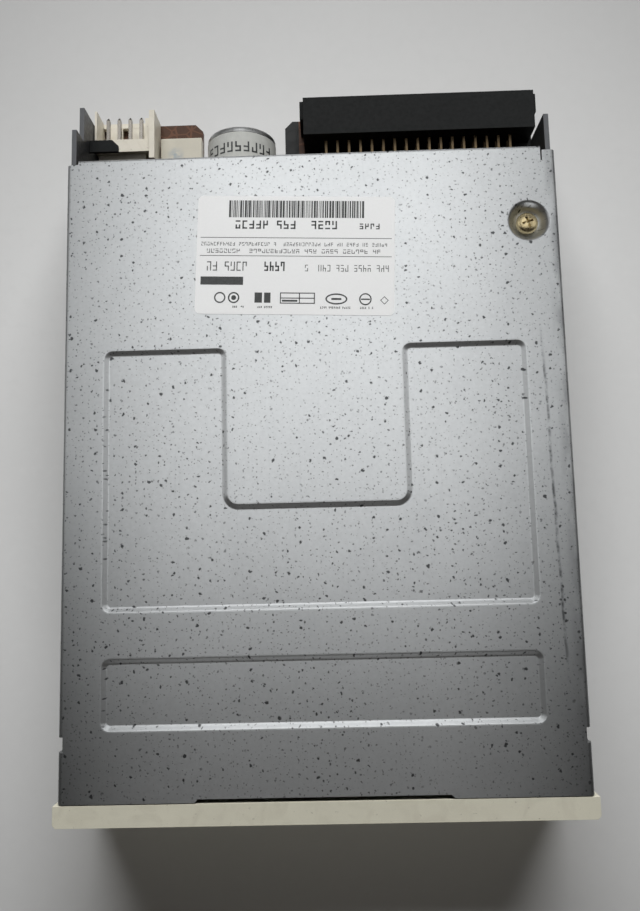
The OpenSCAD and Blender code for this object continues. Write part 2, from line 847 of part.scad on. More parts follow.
// The slide plate lies on the chassis' side ledges under the carrier
module slide_plate() {
    strip_in = slide_out - slide_strip_w;
    tab_half = slide_tab_w / 2;
    tab_y = front_y + button_l;
    color(steel) difference() {
        union() {
            block([-slide_out, at(slide_bar_front), slide_z],
                [slide_out, at(slide_bar_rear), slide_z + plate_t]);
            both_sides() {
                block([strip_in, at(slide_bar_front), slide_z],
                    [slide_out, at(slide_rear), slide_z + plate_t]);
                block([slide_in, at(slide_bar_front), slide_z], [slide_out, at(slide_rear), slide_top]);
                block([spring_x - spring_hole_r, at(spring_rear), spring_z - spring_hole_r],
                    [spring_x + spring_hole_r, at(spring_rear) + hook_t, slide_z + hold_gap]);
            }
            block([button_x - tab_half, tab_y - plate_t, slide_z],
                [button_x + tab_half, at(slide_bar_front) + hold_gap, slide_z + plate_t]);
            block([button_x - tab_half, tab_y - plate_t, button_z - button_h / 4],
                [button_x + tab_half, tab_y, slide_z + plate_t]);
        }
        both_sides() for (y = cam_slot_y) cam_slot(at(y));
    }
}

// A slanted slot that lowers the carrier's pin as the plate comes forward
module cam_slot(y) {
    slope = atan2(-drop_h, eject_stroke);
    run = sqrt(drop_h * drop_h + eject_stroke * eject_stroke);
    for (end = [0, 1])
        rod_along_x([slide_in - over, y + end * eject_stroke, pin_z - end * drop_h], pin_slot_r,
            plate_t + 2 * over);
    translate([slide_in - over, y, pin_z]) rotate([slope, 0, 0])
        translate([0, 0, -pin_slot_r]) cube([plate_t + 2 * over, run, 2 * pin_slot_r]);
}

module slide_springs() {
    color(steel) both_sides() difference() {
        rod_along_y([spring_x, at(spring_front), spring_z], spring_r, spring_rear - spring_front);
        rod_along_y([spring_x, at(spring_front) - over, spring_z], spring_hole_r,
            spring_rear - spring_front + 2 * over);
    }
}

// A straight bar with round ends between two points of the plan
module link(a, b, z, w, t) {
    d = b - a;
    for (p = [a, b]) rod_along_z([p[0], p[1], z], w / 2, t);
    translate([a[0], a[1], z]) rotate([0, 0, atan2(d[1], d[0])])
        translate([0, -w / 2, 0]) cube([norm(d), w, t]);
}

module shutter_lever() {
    hub = [lever_x, at(lever_y)];
    tip = [lever_tip_x, at(lever_tip_y)];
    color(steel) difference() {
        union() {
            rod_along_z([hub[0], hub[1], lever_z], lever_hub_r, lever_t);
            link(hub, tip, lever_z, lever_arm_w, lever_t);
            link(hub, [lever_nose_x, at(lever_nose_y)], lever_z, lever_arm_w, lever_t);
            rod_along_z([tip[0], tip[1], lever_z], lever_tip_r, lever_tip_top - lever_z);
        }
        rod_along_z([hub[0], hub[1], lever_z - over], lever_post_r + run_gap, lever_t + 2 * over);
    }
}

module lever_post() {
    color(brass) union() {
        rod_along_z([lever_x, at(lever_y), deck_z], lever_post_r - hold_gap, frame_t);
        rod_along_z([lever_x, at(lever_y), deck_top], collar_r, lever_z - deck_top - seat_gap);
        rod_along_z([lever_x, at(lever_y), deck_top], lever_post_r,
            lever_z + lever_t + seat_gap - deck_top);
        rod_along_z([lever_x, at(lever_y), lever_z + lever_t + seat_gap], lever_cap_r, lever_cap_h);
    }
}

module lever_spring() {
    color(steel) difference() {
        rod_along_z([lever_x, at(lever_y), deck_top], lever_coil_r, (lever_z - deck_top) * 0.7);
        rod_along_z([lever_x, at(lever_y), deck_top - over], collar_r + run_gap, lever_z);
    }
}

module spindle_board() {
    color(ferrite) difference() {
        block([-spindle_board_half_w, at(deck_front), deck_z - spindle_board_t],
            [spindle_board_half_w, at(spindle_board_rear), deck_z]);
        rod_along_z([0, at(spindle_y), deck_z - spindle_board_t - over], bearing_r,
            spindle_board_t + 2 * over);
        block([button_x - button_w / 2 - frame_t, at(deck_front) - over, deck_z - spindle_board_t - over],
            [spindle_board_half_w + over, at(button_bay_l), deck_z + over]);
        block([carriage_slot_left, at(carriage_slot_front), deck_z - spindle_board_t - over],
            [carriage_slot_right, at(spindle_board_rear) + over, deck_z + over]);
    }
}

module spindle_bearing() {
    color(brass) difference() {
        union() {
            rod_along_z([0, at(spindle_y), bearing_bot], bearing_r - hold_gap, bearing_top - bearing_bot);
            rod_along_z([0, at(spindle_y), deck_z], bearing_flange_r, bearing_flange_h);
        }
        rod_along_z([0, at(spindle_y), bearing_bot - over], shaft_r + run_gap, bearing_top);
    }
}

module thrust_plate() {
    color(black) rod_along_z([0, at(spindle_y), bearing_bot - thrust_t], bearing_r, thrust_t);
}

// Outer radius of the stator, a pole gap inside the rotor's magnet
magnet_out_r = rotor_r - cup_t - hold_gap;
magnet_in_r = magnet_out_r - magnet_t;
stator_r = magnet_in_r - pole_gap;
core_z = deck_z + bearing_flange_h;

module around_spindle(n) {
    for (i = [0 : n - 1]) translate([0, at(spindle_y), 0]) rotate([0, 0, i * 360 / n]) children();
}

module stator_core() {
    color(steel) difference() {
        union() {
            rod_along_z([0, at(spindle_y), core_z], core_r, core_h);
            around_spindle(poles) {
                block([core_r - over, -tooth_w / 2, core_z],
                    [stator_r - 0.75 * tooth_w, tooth_w / 2, core_z + core_h]);
                block([stator_r - tooth_w, -tooth_w, core_z],
                    [stator_r - tooth_w / 2, tooth_w, core_z + core_h]);
            }
        }
        rod_along_z([0, at(spindle_y), core_z - over], bearing_r, core_h + 2 * over);
    }
}

module stator_coils() {
    start = core_r + 1.2 * tooth_w;
    finish = stator_r - tooth_w - hold_gap;
    color(copper) around_spindle(poles) difference() {
        block([start, -coil_w / 2, core_z - coil_wrap], [finish, coil_w / 2, core_z + core_h + coil_wrap]);
        block([start - over, -tooth_w / 2, core_z], [finish + over, tooth_w / 2, core_z + core_h]);
    }
}

module rotor_cup() {
    color(zinc) difference() {
        rod_along_z([0, at(spindle_y), skirt_z], rotor_r, rotor_top - skirt_z);
        rod_along_z([0, at(spindle_y), skirt_z - over], rotor_r - cup_t,
            rotor_top - cup_t - skirt_z + over);
        rod_along_z([0, at(spindle_y), skirt_z], shaft_r + hold_gap, rotor_top);
    }
}

module rotor_magnet() {
    color(ferrite) difference() {
        rod_along_z([0, at(spindle_y), skirt_z], magnet_out_r, magnet_h);
        rod_along_z([0, at(spindle_y), skirt_z - over], magnet_in_r, magnet_h + 2 * over);
    }
}

module spindle_shaft() {
    color(steel) union() {
        rod_along_z([0, at(spindle_y), bearing_bot + run_gap], shaft_r, hub_top - bearing_bot - run_gap);
        rod_along_z([0, at(spindle_y), hub_top], centre_pin_r, centre_pin_h);
    }
}

module spindle_hub() {
    color(brass) difference() {
        rod_along_z([0, at(spindle_y), rotor_top], hub_r, hub_h);
        rod_along_z([0, at(spindle_y), rotor_top - over], shaft_r + hold_gap, hub_h + 2 * over);
        rod_along_z([drive_pin_x, at(spindle_y), rotor_top - over], drive_pin_r, hub_h + 2 * over);
        difference() {
            rod_along_z([0, at(spindle_y), hub_top - chuck_depth], chuck_out_r, chuck_depth + over);
            rod_along_z([0, at(spindle_y), hub_top - chuck_depth - over], chuck_in_r,
                chuck_depth + 3 * over);
        }
    }
}

module chuck_magnet() {
    color(ferrite) difference() {
        rod_along_z([0, at(spindle_y), hub_top - chuck_depth], chuck_out_r - hold_gap,
            chuck_depth - hold_gap);
        rod_along_z([0, at(spindle_y), hub_top - chuck_depth - over], chuck_in_r + hold_gap,
            chuck_depth + 2 * over);
    }
}

module drive_pin() {
    color(steel) rod_along_z([drive_pin_x, at(spindle_y), rotor_top], drive_pin_r - hold_gap,
        hub_h + drive_pin_h);
}

// Head carriage: moulded block on the guide rod, with an arm over the lead screw
module head_carriage() {
    rear = at(head_y + carriage_l);
    color(black) difference() {
        union() {
            block([-carriage_half_w, at(head_y - nose_l), carriage_z],
                [carriage_half_w, rear, carriage_top]);
            block([carriage_half_w - over, at(head_y - nose_l), carriage_z],
                [rod_x + bearing_block_half_w, at(head_y - nose_l + bearing_block_l),
                    motor_z + rod_r + over]);
            block([-side_arm_end, rear - side_arm_l, carriage_top], [carriage_half_w, rear, side_arm_top]);
            block([-side_arm_end, rear - side_arm_l, sensor_floor + slip],
                [-side_arm_end + flag_t, rear, side_arm_top]);
            both_sides() block([carriage_half_w - ear_t, at(head_y + arm_reach) - knuckle_r - slip,
                carriage_z],
                [carriage_half_w, rear, pivot_z + knuckle_r + slip]);
        }
        rod_along_y([rod_x, at(head_y - nose_l) - over, motor_z], rod_r + run_gap, carriage_l + 2 * over);
        rod_along_x([-carriage_half_w - over, at(head_y + arm_reach), pivot_z], arm_pin_r,
            2 * carriage_half_w + 2 * over);
        rod_along_z([-motor_x, rear - side_arm_l / 2, carriage_top - over], follower_r, side_arm_top);
    }
}

// A head: a square base and a smaller shoe that touches the disk
module head_pad(base_z, shoe_z, top_z) {
    block([-pad_base_half, at(head_y) - pad_base_half, base_z],
        [pad_base_half, at(head_y) + pad_base_half, shoe_z]);
    block([-pad_half, at(head_y) - pad_half, shoe_z], [pad_half, at(head_y) + pad_half, top_z]);
}

module lower_head() {
    color(white) head_pad(carriage_top, media_z - shoe_h, media_z - run_gap);
}

// The upper arm is drawn in its lowered place and turned up about its pin
module lifted() {
    translate([0, at(head_y + arm_reach), pivot_z]) rotate([-lift_deg, 0, 0])
        translate([0, -at(head_y + arm_reach), -pivot_z]) children();
}

module upper_arm() {
    arm_z = pivot_z - arm_t / 2;
    knuckle_half_w = carriage_half_w - ear_t - slip;
    color(steel) lifted() difference() {
        union() {
            block([-arm_half_w, at(head_y + pad_base_half), arm_z],
                [arm_half_w, at(head_y + arm_reach), arm_z + arm_t]);
            block([-pad_base_half, at(head_y) - pad_half - seat_gap, arm_z],
                [pad_base_half, at(head_y + pad_base_half) + over, arm_z + arm_t]);
            rod_along_x([-arm_half_w + arm_pin_r * 2 + slip, at(head_y + arm_reach), pivot_z], knuckle_r,
                knuckle_half_w + arm_half_w - arm_pin_r * 2 - slip);
        }
        rod_along_x([-carriage_half_w, at(head_y + arm_reach), pivot_z], arm_pin_r + run_gap,
            2 * carriage_half_w);
        block([-arm_half_w - over, at(head_y + arm_reach) - knuckle_r - slip, arm_z - over],
            [-arm_half_w + arm_pin_r * 2 + slip, at(head_y + arm_reach) + knuckle_r, arm_z + arm_t + over]);
    }
}

module upper_head() {
    color(white) lifted()
        block([-pad_half, at(head_y) - pad_half, media_z + run_gap],
            [pad_half, at(head_y) + pad_half, media_z + shoe_h]);
}

module arm_pin() {
    color(steel) rod_along_x([-carriage_half_w, at(head_y + arm_reach), pivot_z], arm_pin_r - hold_gap,
        2 * carriage_half_w);
}

module arm_spring() {
    color(steel) difference() {
        rod_along_x([-carriage_half_w + ear_t, at(head_y + arm_reach), pivot_z], knuckle_r - hold_gap,
            arm_pin_r * 1.4);
        rod_along_x([-carriage_half_w, at(head_y + arm_reach), pivot_z], arm_pin_r + run_gap,
            2 * carriage_half_w);
    }
}

module screw_follower() {
    color(brass) union() {
        rod_along_z([-motor_x, at(head_y + carriage_l) - side_arm_l / 2, motor_z + screw_r + seat_gap],
            follower_r - hold_gap, side_arm_top - motor_z - screw_r - seat_gap);
        rod_along_z([-motor_x, at(head_y + carriage_l) - side_arm_l / 2, side_arm_top], 3 * follower_r,
            follower_r);
    }
}

// The moving half of the head cable: along the carriage and round a loop
module head_flex() {
    color(film) union() {
        block([-flex_half_w, at(head_y + nose_l), flex_up_z],
            [flex_half_w, at(flex_loop_y), flex_up_z + flex_t]);
        translate([-flex_half_w, at(flex_loop_y), flex_low_z + flex_loop_r]) rotate([0, 90, 0])
            linear_extrude(height = 2 * flex_half_w) difference() {
                circle(r = flex_loop_r);
                circle(r = flex_loop_r - flex_t);
                translate([-flex_loop_r - over, -flex_loop_r - over])
                    square([2 * (flex_loop_r + over), flex_loop_r + over]);
            }
        block([-flex_half_w, at(flex_loop_y - flex_tail), flex_low_z],
            [flex_half_w, at(flex_loop_y), flex_low_z + flex_t]);
    }
}

// The still half lies on the main board and ends in its socket
module board_flex() {
    color(film) block([-flex_half_w, at(board_flex_front), board_top],
        [flex_half_w, at(flex_loop_y), board_top + flex_t]);
}

module guide_rod() {
    color(steel) rod_along_y([rod_x, at(rod_front), motor_z], rod_r, deck_rear - rod_front);
}

module rod_holder(y) {
    difference() {
        union() {
            block([rod_x - rod_holder_h, y, deck_top],
                [rod_x + rod_holder_h, y + rod_holder_t, motor_z + rod_holder_h]);
            block([rod_x, y, deck_top], [rod_x + rod_foot_l + rod_holder_h, y + rod_holder_t,
                deck_top + rod_foot_t]);
        }
        rod_along_y([rod_x, y - over, motor_z], rod_r + hold_gap, rod_holder_t + 2 * over);
        rod_along_z([rod_x + rod_foot_l, y + rod_holder_t / 2, deck_top - over], rod_screw_r + run_gap,
            rod_foot_t + 2 * over);
    }
}

module rod_holders() {
    color(zinc) for (y = [rod_front, deck_rear - rod_holder_t]) rod_holder(at(y));
}

// Small screws of the head drive: two in the rod holders and two in the motor's flange
module drive_screws() {
    color(brass) {
        for (y = [rod_front, deck_rear - rod_holder_t])
            cross_screw([rod_x + rod_foot_l, at(y) + rod_holder_t / 2, deck_top + rod_foot_t],
                rod_screw_r - hold_gap, rod_foot_t + frame_t, rod_screw_head_r, rod_screw_head_h);
        for (x = [-flange_screw_x, flange_screw_x])
            translate([-motor_x + x, at(motor_front), motor_z]) rotate([-90, 0, 0])
                cross_screw([0, 0, 0], flange_screw_r - hold_gap, motor_front - deck_rear + frame_t / 2,
                    flange_screw_head_r, flange_screw_head_r / 2);
    }
}

// Lead screw: a round core pushed off centre and wound along the lead, between two journals
module lead_screw() {
    thread_l = thread_rear - thread_front;
    throw = screw_r / 8;
    color(steel) union() {
        translate([-motor_x, at(thread_rear), motor_z]) rotate([90, 0, 0])
            linear_extrude(height = thread_l, twist = 360 * thread_l / screw_lead, slices = 78, $fn = 12)
                translate([throw, 0]) circle(r = screw_r - throw);
        rod_along_y([-motor_x, at(screw_front), motor_z], journal_r, thread_front - screw_front + hold_gap);
        rod_along_y([-motor_x, at(thread_rear) - hold_gap, motor_z], journal_r,
            motor_front - thread_rear + motor_l / 2);
    }
}

module screw_bearing() {
    low = deck_top;
    y = at(screw_front) - screw_bearing_t / 2;
    color(white) difference() {
        union() {
            block([-motor_x - screw_bearing_half_w, y, low],
                [-motor_x + screw_bearing_half_w, y + screw_bearing_t, motor_z]);
            rod_along_y([-motor_x, y, motor_z], screw_bearing_half_w, screw_bearing_t);
        }
        rod_along_y([-motor_x, at(screw_front) - run_gap, motor_z], journal_r + run_gap, screw_bearing_t);
        block([-motor_x - screw_bearing_half_w, y - over, deck_z],
            [-motor_x + screw_bearing_half_w, y + screw_bearing_t + over, low]);
    }
}

module stepper_motor() {
    y = at(motor_front);
    color(zinc) difference() {
        union() {
            rod_along_y([-motor_x, y, motor_z], motor_r, motor_l);
            rod_along_y([-motor_x, y - flange_t - frame_t, motor_z], motor_boss_r,
                flange_t + frame_t + hold_gap);
        }
        rod_along_y([-motor_x, y - flange_t - frame_t - over, motor_z], journal_r + run_gap,
            flange_t + frame_t + over + motor_l / 2 + slip);
        // stepped rear face
        difference() {
            rod_along_y([-motor_x, y + motor_l - motor_rim_t, motor_z], motor_rim_r, motor_rim_t + over);
            rod_along_y([-motor_x, y + motor_l - motor_rim_t, motor_z], motor_boss_r, motor_rim_t / 2);
        }
    }
}

module stepper_flange() {
    y = at(deck_rear) + frame_t;
    color(zinc) difference() {
        block([-motor_x - flange_half_w, y, board_top + slip],
            [-motor_x + flange_half_w, at(motor_front),
            motor_z + flange_half_h]);
        rod_along_y([-motor_x, y - over, motor_z], motor_boss_r + hold_gap, motor_front);
        for (x = [-flange_screw_x, flange_screw_x])
            rod_along_y([-motor_x + x, y - over, motor_z], flange_screw_r + run_gap, 3 * over + frame_t);
    }
}

module stepper_label() {
    color(white) difference() {
        rod_along_y([-motor_x, at(motor_label_front), motor_z], motor_r + motor_label_t, motor_label_l);
        rod_along_y([-motor_x, at(motor_label_front) - over, motor_z], motor_r + motor_label_t / 5,
            motor_label_l + 2 * over);
        block([-motor_x - motor_r - over, at(motor_label_front) - over, motor_z - motor_r - over],
            [-motor_x + motor_r + over, at(motor_label_front + motor_label_l) + over, motor_z]);
    }
}

// Short flat cable from the motor's side to its socket
module stepper_flex() {
    z = board_top + flex_t;
    side = -motor_x - motor_r - flex_t;
    tail = stepper_socket_x + stepper_socket_w / 4;
    color(film) union() {
        block([tail - flex_half_w, at(stepper_socket_y) - flex_half_w, z],
            [side, at(stepper_socket_y) - over, z + flex_t]);
        block([tail - flex_half_w, at(stepper_socket_y) - flex_half_w, z],
            [tail, at(stepper_socket_y), z + flex_t]);
        block([side - flex_t, at(stepper_socket_y) - flex_half_w, z],
            [side, at(stepper_socket_y) - over, motor_z]);
        block([side - flex_t, at(stepper_socket_y) - flex_half_w, motor_z - flex_t],
            [-motor_x - motor_r - seat_gap / 2, at(stepper_socket_y) - over, motor_z]);
    }
}

// Black guard plate on the left wall, over the power connector's pins
module wire_guard() {
    end = -wall_in + guard_w;
    color(black) linear_extrude_at(guard_z, guard_t)
        polygon([[-wall_in, at(guard_y)], [end, at(guard_y)], [end, at(guard_y + guard_l / 2)],
            [end - guard_l / 2, at(guard_y + guard_l)], [-wall_in, at(guard_y + guard_l)]]);
}

module linear_extrude_at(z, h) {
    translate([0, 0, z]) linear_extrude(height = h) children();
}

module track_sensor() {
    y = at(head_y + carriage_l) - side_arm_l;
    x = -side_arm_end + flag_t / 2;
    color(black) difference() {
        block([x - sensor_half_w, y - sensor_l / 2, deck_top],
            [x + sensor_half_w, y + sensor_l / 2, sensor_top]);
        block([x - sensor_slot_w / 2, y - sensor_l, sensor_floor],
            [x + sensor_slot_w / 2, y + sensor_l, sensor_top + over]);
    }
}

switch_places = [[-switch_x, switch_y], [switch_x, switch_y], [-disk_switch_x, switch_y]];

module switch_bodies() {
    color(black) for (p = switch_places) difference() {
        block([p[0] - switch_half_w, at(p[1]) - switch_half_l, deck_top],
            [p[0] + switch_half_w, at(p[1]) + switch_half_l, switch_top]);
        rod_along_z([p[0], at(p[1]), deck_top + plunger_r], plunger_r + run_gap,
            switch_top - deck_top - plunger_r + over);
        rod_along_z([p[0], at(p[1]), deck_top + plunger_r], plunger_collar_r + run_gap,
            switch_top - deck_top - 2 * plunger_r);
    }
}

// A plunger and the collar that keeps it in its switch
module plunger(i) {
    p = switch_places[i];
    collar_top = switch_top - plunger_r - seat_gap;
    color(white) union() {
        rod_along_z([p[0], at(p[1]), collar_top - plunger_collar_h], plunger_r,
            plunger_top - collar_top + plunger_collar_h);
        rod_along_z([p[0], at(p[1]), collar_top - plunger_collar_h], plunger_collar_r, plunger_collar_h);
    }
}

module protect_plunger() {
    plunger(0);
}

module density_plunger() {
    plunger(1);
}

module disk_plunger() {
    plunger(2);
}

// Header: the shroud opens to the rear
function header_half_w() = header_pitch * (header_columns - 1) / 2 + shroud_end;
function column_x(i) = header_x + header_pitch * (i - (header_columns - 1) / 2);
header_mid_z = board_top + header_h / 2;
shroud_front = body_d - header_d;

module header_shroud() {
    half = header_half_w();
    color(black) difference() {
        union() {
            block([header_x - half, at(shroud_front), board_top],
                [header_x + half, at(body_d), board_top + header_h]);
            for (side = [-1, 1]) {
                outer = header_x + side * (half + shroud_ledge_w);
                inner = header_x + side * (half - over);
                block([min(outer, inner), at(body_d - shroud_ledge_l), board_top],
                    [max(outer, inner), at(body_d), board_top + shroud_ledge_h]);
            }
        }
        block([header_x - half + shroud_wall, at(shroud_front + shroud_back), board_top + shroud_wall],
            [header_x + half - shroud_wall, at(body_d) + over, board_top + header_h - shroud_wall]);
        block([header_x - shroud_key_w / 2, at(shroud_front + shroud_back), board_top - over],
            [header_x + shroud_key_w / 2, at(body_d) + over, header_mid_z]);
        for (i = [0 : header_columns - 1], row = [-1, 1]) {
            z = header_mid_z + row * header_pin_rows / 2;
            w = header_pin_w / 2 + hold_gap;
            block([column_x(i) - w, at(shroud_front) - over, z - w],
                [column_x(i) + w, at(shroud_front + shroud_back) + over, z + w]);
        }
    }
}

// One bent pin of square wire: out of the shroud, over and down through the board
module bent_pin(x, tip_y, bend_y, z, w) {
    block([x - w / 2, at(bend_y), z - w / 2], [x + w / 2, at(tip_y), z + w / 2]);
    block([x - w / 2, at(bend_y), board_top - board_t - pin_drop], [x + w / 2, at(bend_y) + w, z + w / 2]);
}

module header_pins() {
    color(brass) for (i = [0 : header_columns - 1], row = [0, 1])
        bent_pin(column_x(i), body_d - header_pin_reach,
            shroud_front - header_bend + header_pin_rows * (1 - row),
            header_mid_z + (row - 0.5) * header_pin_rows, header_pin_w);
}

function power_column_x(i) = -power_x + power_pitch * (i - (power_pins_n - 1) / 2);
power_left = power_column_x(0) - power_end_left;
power_right = power_column_x(power_pins_n - 1) + power_end_right;
power_front = body_d - power_l;

// Power connector: open-topped housing with its pins moulded in
module power_connector() {
    base_rear = power_front + power_base_l;
    color(white) union() {
        block([power_left, at(power_front), board_top],
            [power_right, at(base_rear), board_top + power_base_h]);
        block([power_left, at(base_rear) - hold_gap, board_top],
            [power_right, at(body_d), board_top + power_floor_h]);
        for (x = [power_left, power_right - power_wall])
            block([x, at(power_front), board_top], [x + power_wall, at(body_d), board_top + power_wall_h]);
        for (i = [0 : power_pins_n - 1])
            bent_pin(power_column_x(i), body_d - power_wall / 2, power_front - power_bend,
                power_pin_z, power_pin_w);
    }
}

module main_board() {
    half = board_half_w;
    low = board_top - board_t;
    color(board_brown) difference() {
        translate([0, 0, low]) linear_extrude(height = board_t)
            polygon([[-half, at(board_front)], [half, at(board_front)], [half, at(board_rear)],
                [bay_right + bay_chamfer, at(board_rear)], [bay_right, at(board_rear - bay_chamfer)],
                [bay_right, at(bay_front)], [bay_left, at(bay_front)],
                [bay_left, at(board_rear - bay_chamfer)], [bay_left - bay_chamfer, at(board_rear)],
                [-half, at(board_rear)]]);
        both_sides() {
            rod_along_z([standoff_x, at(standoff_y), low - over], board_screw_r + slip / 3,
                board_t + 2 * over);
            rod_along_z([low_in - rear_tab_w / 2, at(rear_tab_y + rear_tab_l / 2), low - over],
                board_screw_r + slip / 3, board_t + 2 * over);
        }
        for (i = [0 : header_columns - 1], row = [0, 1])
            pin_hole(column_x(i), shroud_front - header_bend + header_pin_rows * (1 - row), header_pin_w);
        for (i = [0 : power_pins_n - 1])
            pin_hole(power_column_x(i), power_front - power_bend, power_pin_w);
    }
}

module pin_hole(x, y, w) {
    block([x - w / 2 - run_gap, at(y) - run_gap, board_top - board_t - over],
        [x + w / 2 + run_gap, at(y) + w + run_gap, board_top + over]);
}

module board_screws() {
    low = board_top - board_t;
    color(brass) both_sides() for (p = [[standoff_x, standoff_y, deck_z - low],
            [low_in - rear_tab_w / 2, rear_tab_y + rear_tab_l / 2, board_t + frame_t]])
        translate([p[0], at(p[1]), low]) rotate([180, 0, 0])
            cross_screw([0, 0, 0], board_screw_r - hold_gap, p[2], board_screw_head_r, board_screw_head_h);
}

module control_chip() {
    top = board_top - board_t;
    pitch = 2 * chip_half / (leads_side + 1);
    color(black) translate([chip_x, at(chip_y), 0]) {
        block([-chip_half, -chip_half, top - chip_h], [chip_half, chip_half, top - slip / 3]);
        for (turn = [0 : 90 : 270], i = [1 : leads_side]) rotate([0, 0, turn])
            block([chip_half - lead_w, -chip_half + i * pitch - lead_w / 2, top - lead_w],
                [chip_half + lead_l, -chip_half + i * pitch + lead_w / 2, top]);
    }
}

// Parts on the underside, as shares of the board's half width, its depth and the chip's half size:
// across, along, half width, half length
small_part_shares = [[-0.41, 0.28, 0.7, 0.3], [-0.61, 0.18, 0.45, 0.22], [-0.74, 0.36, 0.3, 0.17],
    [0.7, 0.21, 0.3, 0.17], [0.78, 0.42, 0.45, 0.22], [0.04, 0.14, 0.3, 0.17], [-0.08, 0.28, 0.3, 0.17]];
can_shares = [[-0.84, 0.51], [-0.68, 0.51], [0.12, 0.56]];
can_r = 2;
can_h = 3;

function board_x(share) = share * board_half_w;
function board_y(share) = at(board_front + share * (board_rear - board_front));

module board_parts() {
    top = board_top - board_t;
    color(ferrite) union() {
        for (p = small_part_shares) {
            half_w = p[2] * chip_half;
            half_l = p[3] * chip_half;
            block([board_x(p[0]) - half_w, board_y(p[1]) - half_l, top - half_l],
                [board_x(p[0]) + half_w, board_y(p[1]) + half_l, top]);
        }
        for (p = can_shares) rod_along_z([board_x(p[0]), board_y(p[1]), top - can_h], can_r, can_h);
    }
}

module flex_socket() {
    y = at(board_flex_front) - flex_socket_l;
    color(white) difference() {
        block([-flex_half_w - over, y, board_top],
            [flex_half_w + over, at(board_flex_front) + over, board_top + flex_t * 3]);
        block([-flex_half_w - hold_gap, at(board_flex_front) - hold_gap, board_top - over],
            [flex_half_w + hold_gap, at(board_flex_front) + 2 * over, board_top + flex_t + hold_gap]);
    }
}

module stepper_socket() {
    tail = stepper_socket_x + stepper_socket_w / 4;
    z = board_top + flex_t;
    color(white) difference() {
        block([stepper_socket_x - stepper_socket_w / 2, at(stepper_socket_y) - over / 2, board_top],
            [stepper_socket_x + stepper_socket_w / 2, at(stepper_socket_y + stepper_socket_l),
                board_top + stepper_socket_h]);
        block([tail - flex_half_w - hold_gap, at(stepper_socket_y) - over, z - hold_gap],
            [tail + hold_gap, at(stepper_socket_y) + hold_gap, z + flex_t + hold_gap]);
    }
}

chassis();
top_cover();
cover_screw();
cover_label();
front_bezel();
door_flap();
door_spring();
eject_button();
led_lamp();
disk_carrier();
carrier_pins();
slide_plate();
slide_springs();
shutter_lever();
lever_post();
lever_spring();
spindle_board();
spindle_bearing();
thrust_plate();
stator_core();
stator_coils();
rotor_cup();
rotor_magnet();
spindle_shaft();
spindle_hub();
chuck_magnet();
drive_pin();
head_carriage();
lower_head();
upper_arm();
upper_head();
arm_pin();
arm_spring();
screw_follower();
head_flex();
board_flex();
guide_rod();
rod_holders();
drive_screws();
lead_screw();
screw_bearing();
stepper_motor();
stepper_flange();
stepper_label();
stepper_flex();
wire_guard();
track_sensor();
switch_bodies();
protect_plunger();
density_plunger();
disk_plunger();
main_board();
board_screws();
control_chip();
board_parts();
flex_socket();
stepper_socket();
header_shroud();
header_pins();
power_connector();
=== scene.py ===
"""Looks of a 3.5-inch floppy disk drive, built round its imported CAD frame."""

import json
import math
import random

import bmesh
import bpy
from bpy.props import FloatProperty, FloatVectorProperty, PointerProperty
from mathutils import Matrix, Vector

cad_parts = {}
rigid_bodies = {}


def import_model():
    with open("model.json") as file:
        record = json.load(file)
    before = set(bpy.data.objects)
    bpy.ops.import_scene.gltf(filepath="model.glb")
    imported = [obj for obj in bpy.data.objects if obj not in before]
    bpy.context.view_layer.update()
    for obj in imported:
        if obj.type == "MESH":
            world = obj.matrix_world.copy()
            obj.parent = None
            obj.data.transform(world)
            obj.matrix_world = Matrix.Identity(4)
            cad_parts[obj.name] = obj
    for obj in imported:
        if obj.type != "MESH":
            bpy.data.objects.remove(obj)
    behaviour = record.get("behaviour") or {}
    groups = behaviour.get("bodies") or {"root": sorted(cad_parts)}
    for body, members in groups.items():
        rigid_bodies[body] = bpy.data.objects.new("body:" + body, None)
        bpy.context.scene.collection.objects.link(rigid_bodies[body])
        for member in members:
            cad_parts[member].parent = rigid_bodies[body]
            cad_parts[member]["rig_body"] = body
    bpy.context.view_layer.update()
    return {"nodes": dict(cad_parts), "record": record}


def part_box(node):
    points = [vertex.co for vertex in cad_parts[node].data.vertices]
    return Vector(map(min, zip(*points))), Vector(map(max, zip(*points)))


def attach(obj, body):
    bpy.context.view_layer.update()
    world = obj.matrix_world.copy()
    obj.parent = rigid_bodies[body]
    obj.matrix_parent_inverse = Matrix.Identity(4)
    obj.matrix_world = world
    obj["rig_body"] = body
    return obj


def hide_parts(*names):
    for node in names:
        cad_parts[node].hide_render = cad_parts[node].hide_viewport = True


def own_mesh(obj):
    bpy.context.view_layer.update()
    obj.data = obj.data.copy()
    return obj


bl_info = {
    "name": "Floppy disk drive",
    "version": (1, 0, 0),
    "blender": (4, 5, 0),
    "location": "3D View > Sidebar > Disk Drive",
    "description": "Builds the sheet cover, bezel, connectors and finishes of a floppy disk drive",
    "category": "Object",
}

for leftover in list(bpy.data.objects):
    bpy.data.objects.remove(leftover)
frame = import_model()

# Lengths below are in millimetres; pieces are shrunk to metres when they are finished.
MM = 1000
FACE_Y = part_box("top_cover")[0].y * MM
TOP_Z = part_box("top_cover")[1].z * MM


def in_mm(corners):
    return [corner * MM for corner in corners]


def at(y):
    """Y of a place that lies y behind the back of the bezel."""
    return FACE_Y + y


def colour_property(name, description, default):
    return FloatVectorProperty(
        name=name, description=description, default=default, size=3, min=0, max=1, subtype="COLOR"
    )


